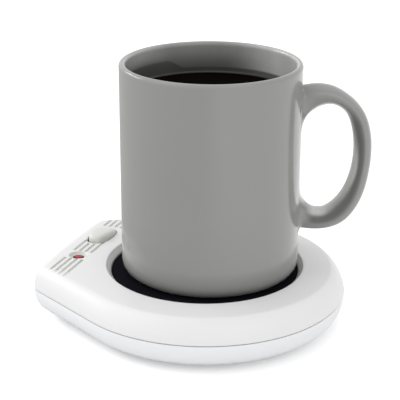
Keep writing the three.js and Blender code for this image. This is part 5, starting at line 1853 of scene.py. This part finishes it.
@dataclass
class Studio:
    """The camera, the floor and the soft light of the picture."""

    camera_place: Point = (0.1869, -0.4985, 0.2527)
    heading: float = 110.8
    pitch: float = 20.38
    roll: float = 0.23
    lens: float = 111.14
    sensor: float = 36.0
    clip: Flat = (0.01, 20.0)
    floor_height: float = -0.002
    floor_size: float = 6.0
    mirrored_span: Flat = (-0.08, 0.12)
    plain: Colour = (0.92, 0.92, 0.92, 1.0)
    sheet: Colour = (0.95, 0.95, 0.95, 1.0)
    sheet_dimmed: Colour = (0.5, 0.5, 0.5, 1.0)
    glow: Colour = (0.28, 0.28, 0.28, 1.0)
    glow_dimmed: Colour = (0.0, 0.0, 0.0, 1.0)
    white: Colour = (1.0, 1.0, 1.0, 1.0)
    sky_light: float = 0.8
    sky_seen: float = 1.0
    lamps: tuple[Lamp, ...] = (
        Lamp("key", (-0.9, -0.8, 1.5), (1.2, 1.2), 3.5), Lamp("fill", (1.1, -0.9, 1.1), (1.2, 1.2), 3.0),
        Lamp("top", (0.0, 0.5, 1.7), (1.4, 1.4), 2.0), Lamp("side", (-1.2, 0.12, 0.62), (0.8, 0.3), 4.6),
    )

    def camera(self) -> None:
        """Set the camera where the picture was taken from."""
        heading, pitch, roll = (math.radians(v) for v in (self.heading, self.pitch, self.roll))
        level = math.cos(pitch)
        forward = Vector((math.cos(heading) * level, math.sin(heading) * level, -math.sin(pitch)))
        right = Vector((math.sin(heading), -math.cos(heading), 0))
        up = right.cross(forward)
        side = right * math.cos(roll) + up * math.sin(roll)
        top = up * math.cos(roll) - right * math.sin(roll)
        data = bpy.data.cameras.new("camera")
        data.lens, data.sensor_width = self.lens, self.sensor
        data.clip_start, data.clip_end = self.clip
        camera = linked("camera", data)
        turn = Matrix((side, top, -forward)).transposed().to_4x4()
        camera.matrix_world = Matrix.Translation(self.camera_place) @ turn
        bpy.context.scene.camera = camera

    def floor(self) -> None:
        """Lay the floor: a white sheet with the object's shadow, which mirrors dimmer at the left."""
        mesh, half = bpy.data.meshes.new("floor"), self.floor_size / 2
        corners = ((-half, -half), (half, -half), (half, half), (-half, half))
        mesh.from_pydata([(x, y, self.floor_height) for x, y in corners], [], [(0, 1, 2, 3)])
        material, net = new_material("white_sheet")
        net.nodes.clear()
        path, heading = net.add("ShaderNodeLightPath").outputs, math.radians(self.heading)
        x, y, _ = net.split(net.coordinates())
        lit = net.span(net.both(x, y, math.sin(heading), -math.cos(heading)), *self.mirrored_span)
        dim = net.times(net.maths("SUBTRACT", 1.0, lit), path["Is Glossy Ray"])
        sheet = net.add("ShaderNodeBsdfDiffuse", {"Color": net.mix(dim, self.sheet, self.sheet_dimmed)})
        glow = net.add("ShaderNodeEmission", {"Color": net.mix(dim, self.glow, self.glow_dimmed)})
        both = net.add("ShaderNodeAddShader", {0: sheet.outputs[0], 1: glow.outputs[0]})
        plain = net.add("ShaderNodeBsdfDiffuse", {"Color": self.plain})
        seen = net.maths("MAXIMUM", path["Is Camera Ray"], path["Is Glossy Ray"])
        pick = net.add("ShaderNodeMixShader", {0: seen, 1: plain.outputs[0], 2: both.outputs[0]})
        net.add("ShaderNodeOutputMaterial", {"Surface": pick.outputs[0]})
        mesh.materials.append(material)
        linked("floor", mesh)

    def sky(self) -> None:
        """Surround the set with soft white."""
        world = bpy.data.worlds.new("soft_white")
        bpy.context.scene.world = world
        world.use_nodes = True
        net = Net(world.node_tree)
        net.nodes.clear()
        soft, seen = (
            net.add("ShaderNodeBackground", {"Color": self.white, "Strength": strength}).outputs[0]
            for strength in (self.sky_light, self.sky_seen)
        )
        path = net.add("ShaderNodeLightPath").outputs
        picked = net.maths("MAXIMUM", path["Is Camera Ray"], path["Is Glossy Ray"])
        picked = net.maths("MAXIMUM", picked, path["Is Transmission Ray"])
        mix = net.add("ShaderNodeMixShader", {0: picked, 1: soft, 2: seen})
        net.add("ShaderNodeOutputWorld", {"Surface": mix.outputs[0]})

    def build(self) -> None:
        """Set up the whole studio."""
        self.camera()
        self.floor()
        self.sky()
        for lamp in self.lamps:
            lamp.hang()
        bpy.context.scene.view_settings.view_transform = "Standard"


def main() -> None:
    """Build the studio and every piece."""
    logging.basicConfig(level=logging.INFO, format="%(message)s")
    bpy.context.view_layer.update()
    for part in (KeptNodes(), Studio(), TopHousing(), BaseCover(), HotPlate(), Rocker(), PilotLamp(),
                 CordBush(), Fastenings(), Mug()):
        part.build()


if __name__ == "__main__":
    main()
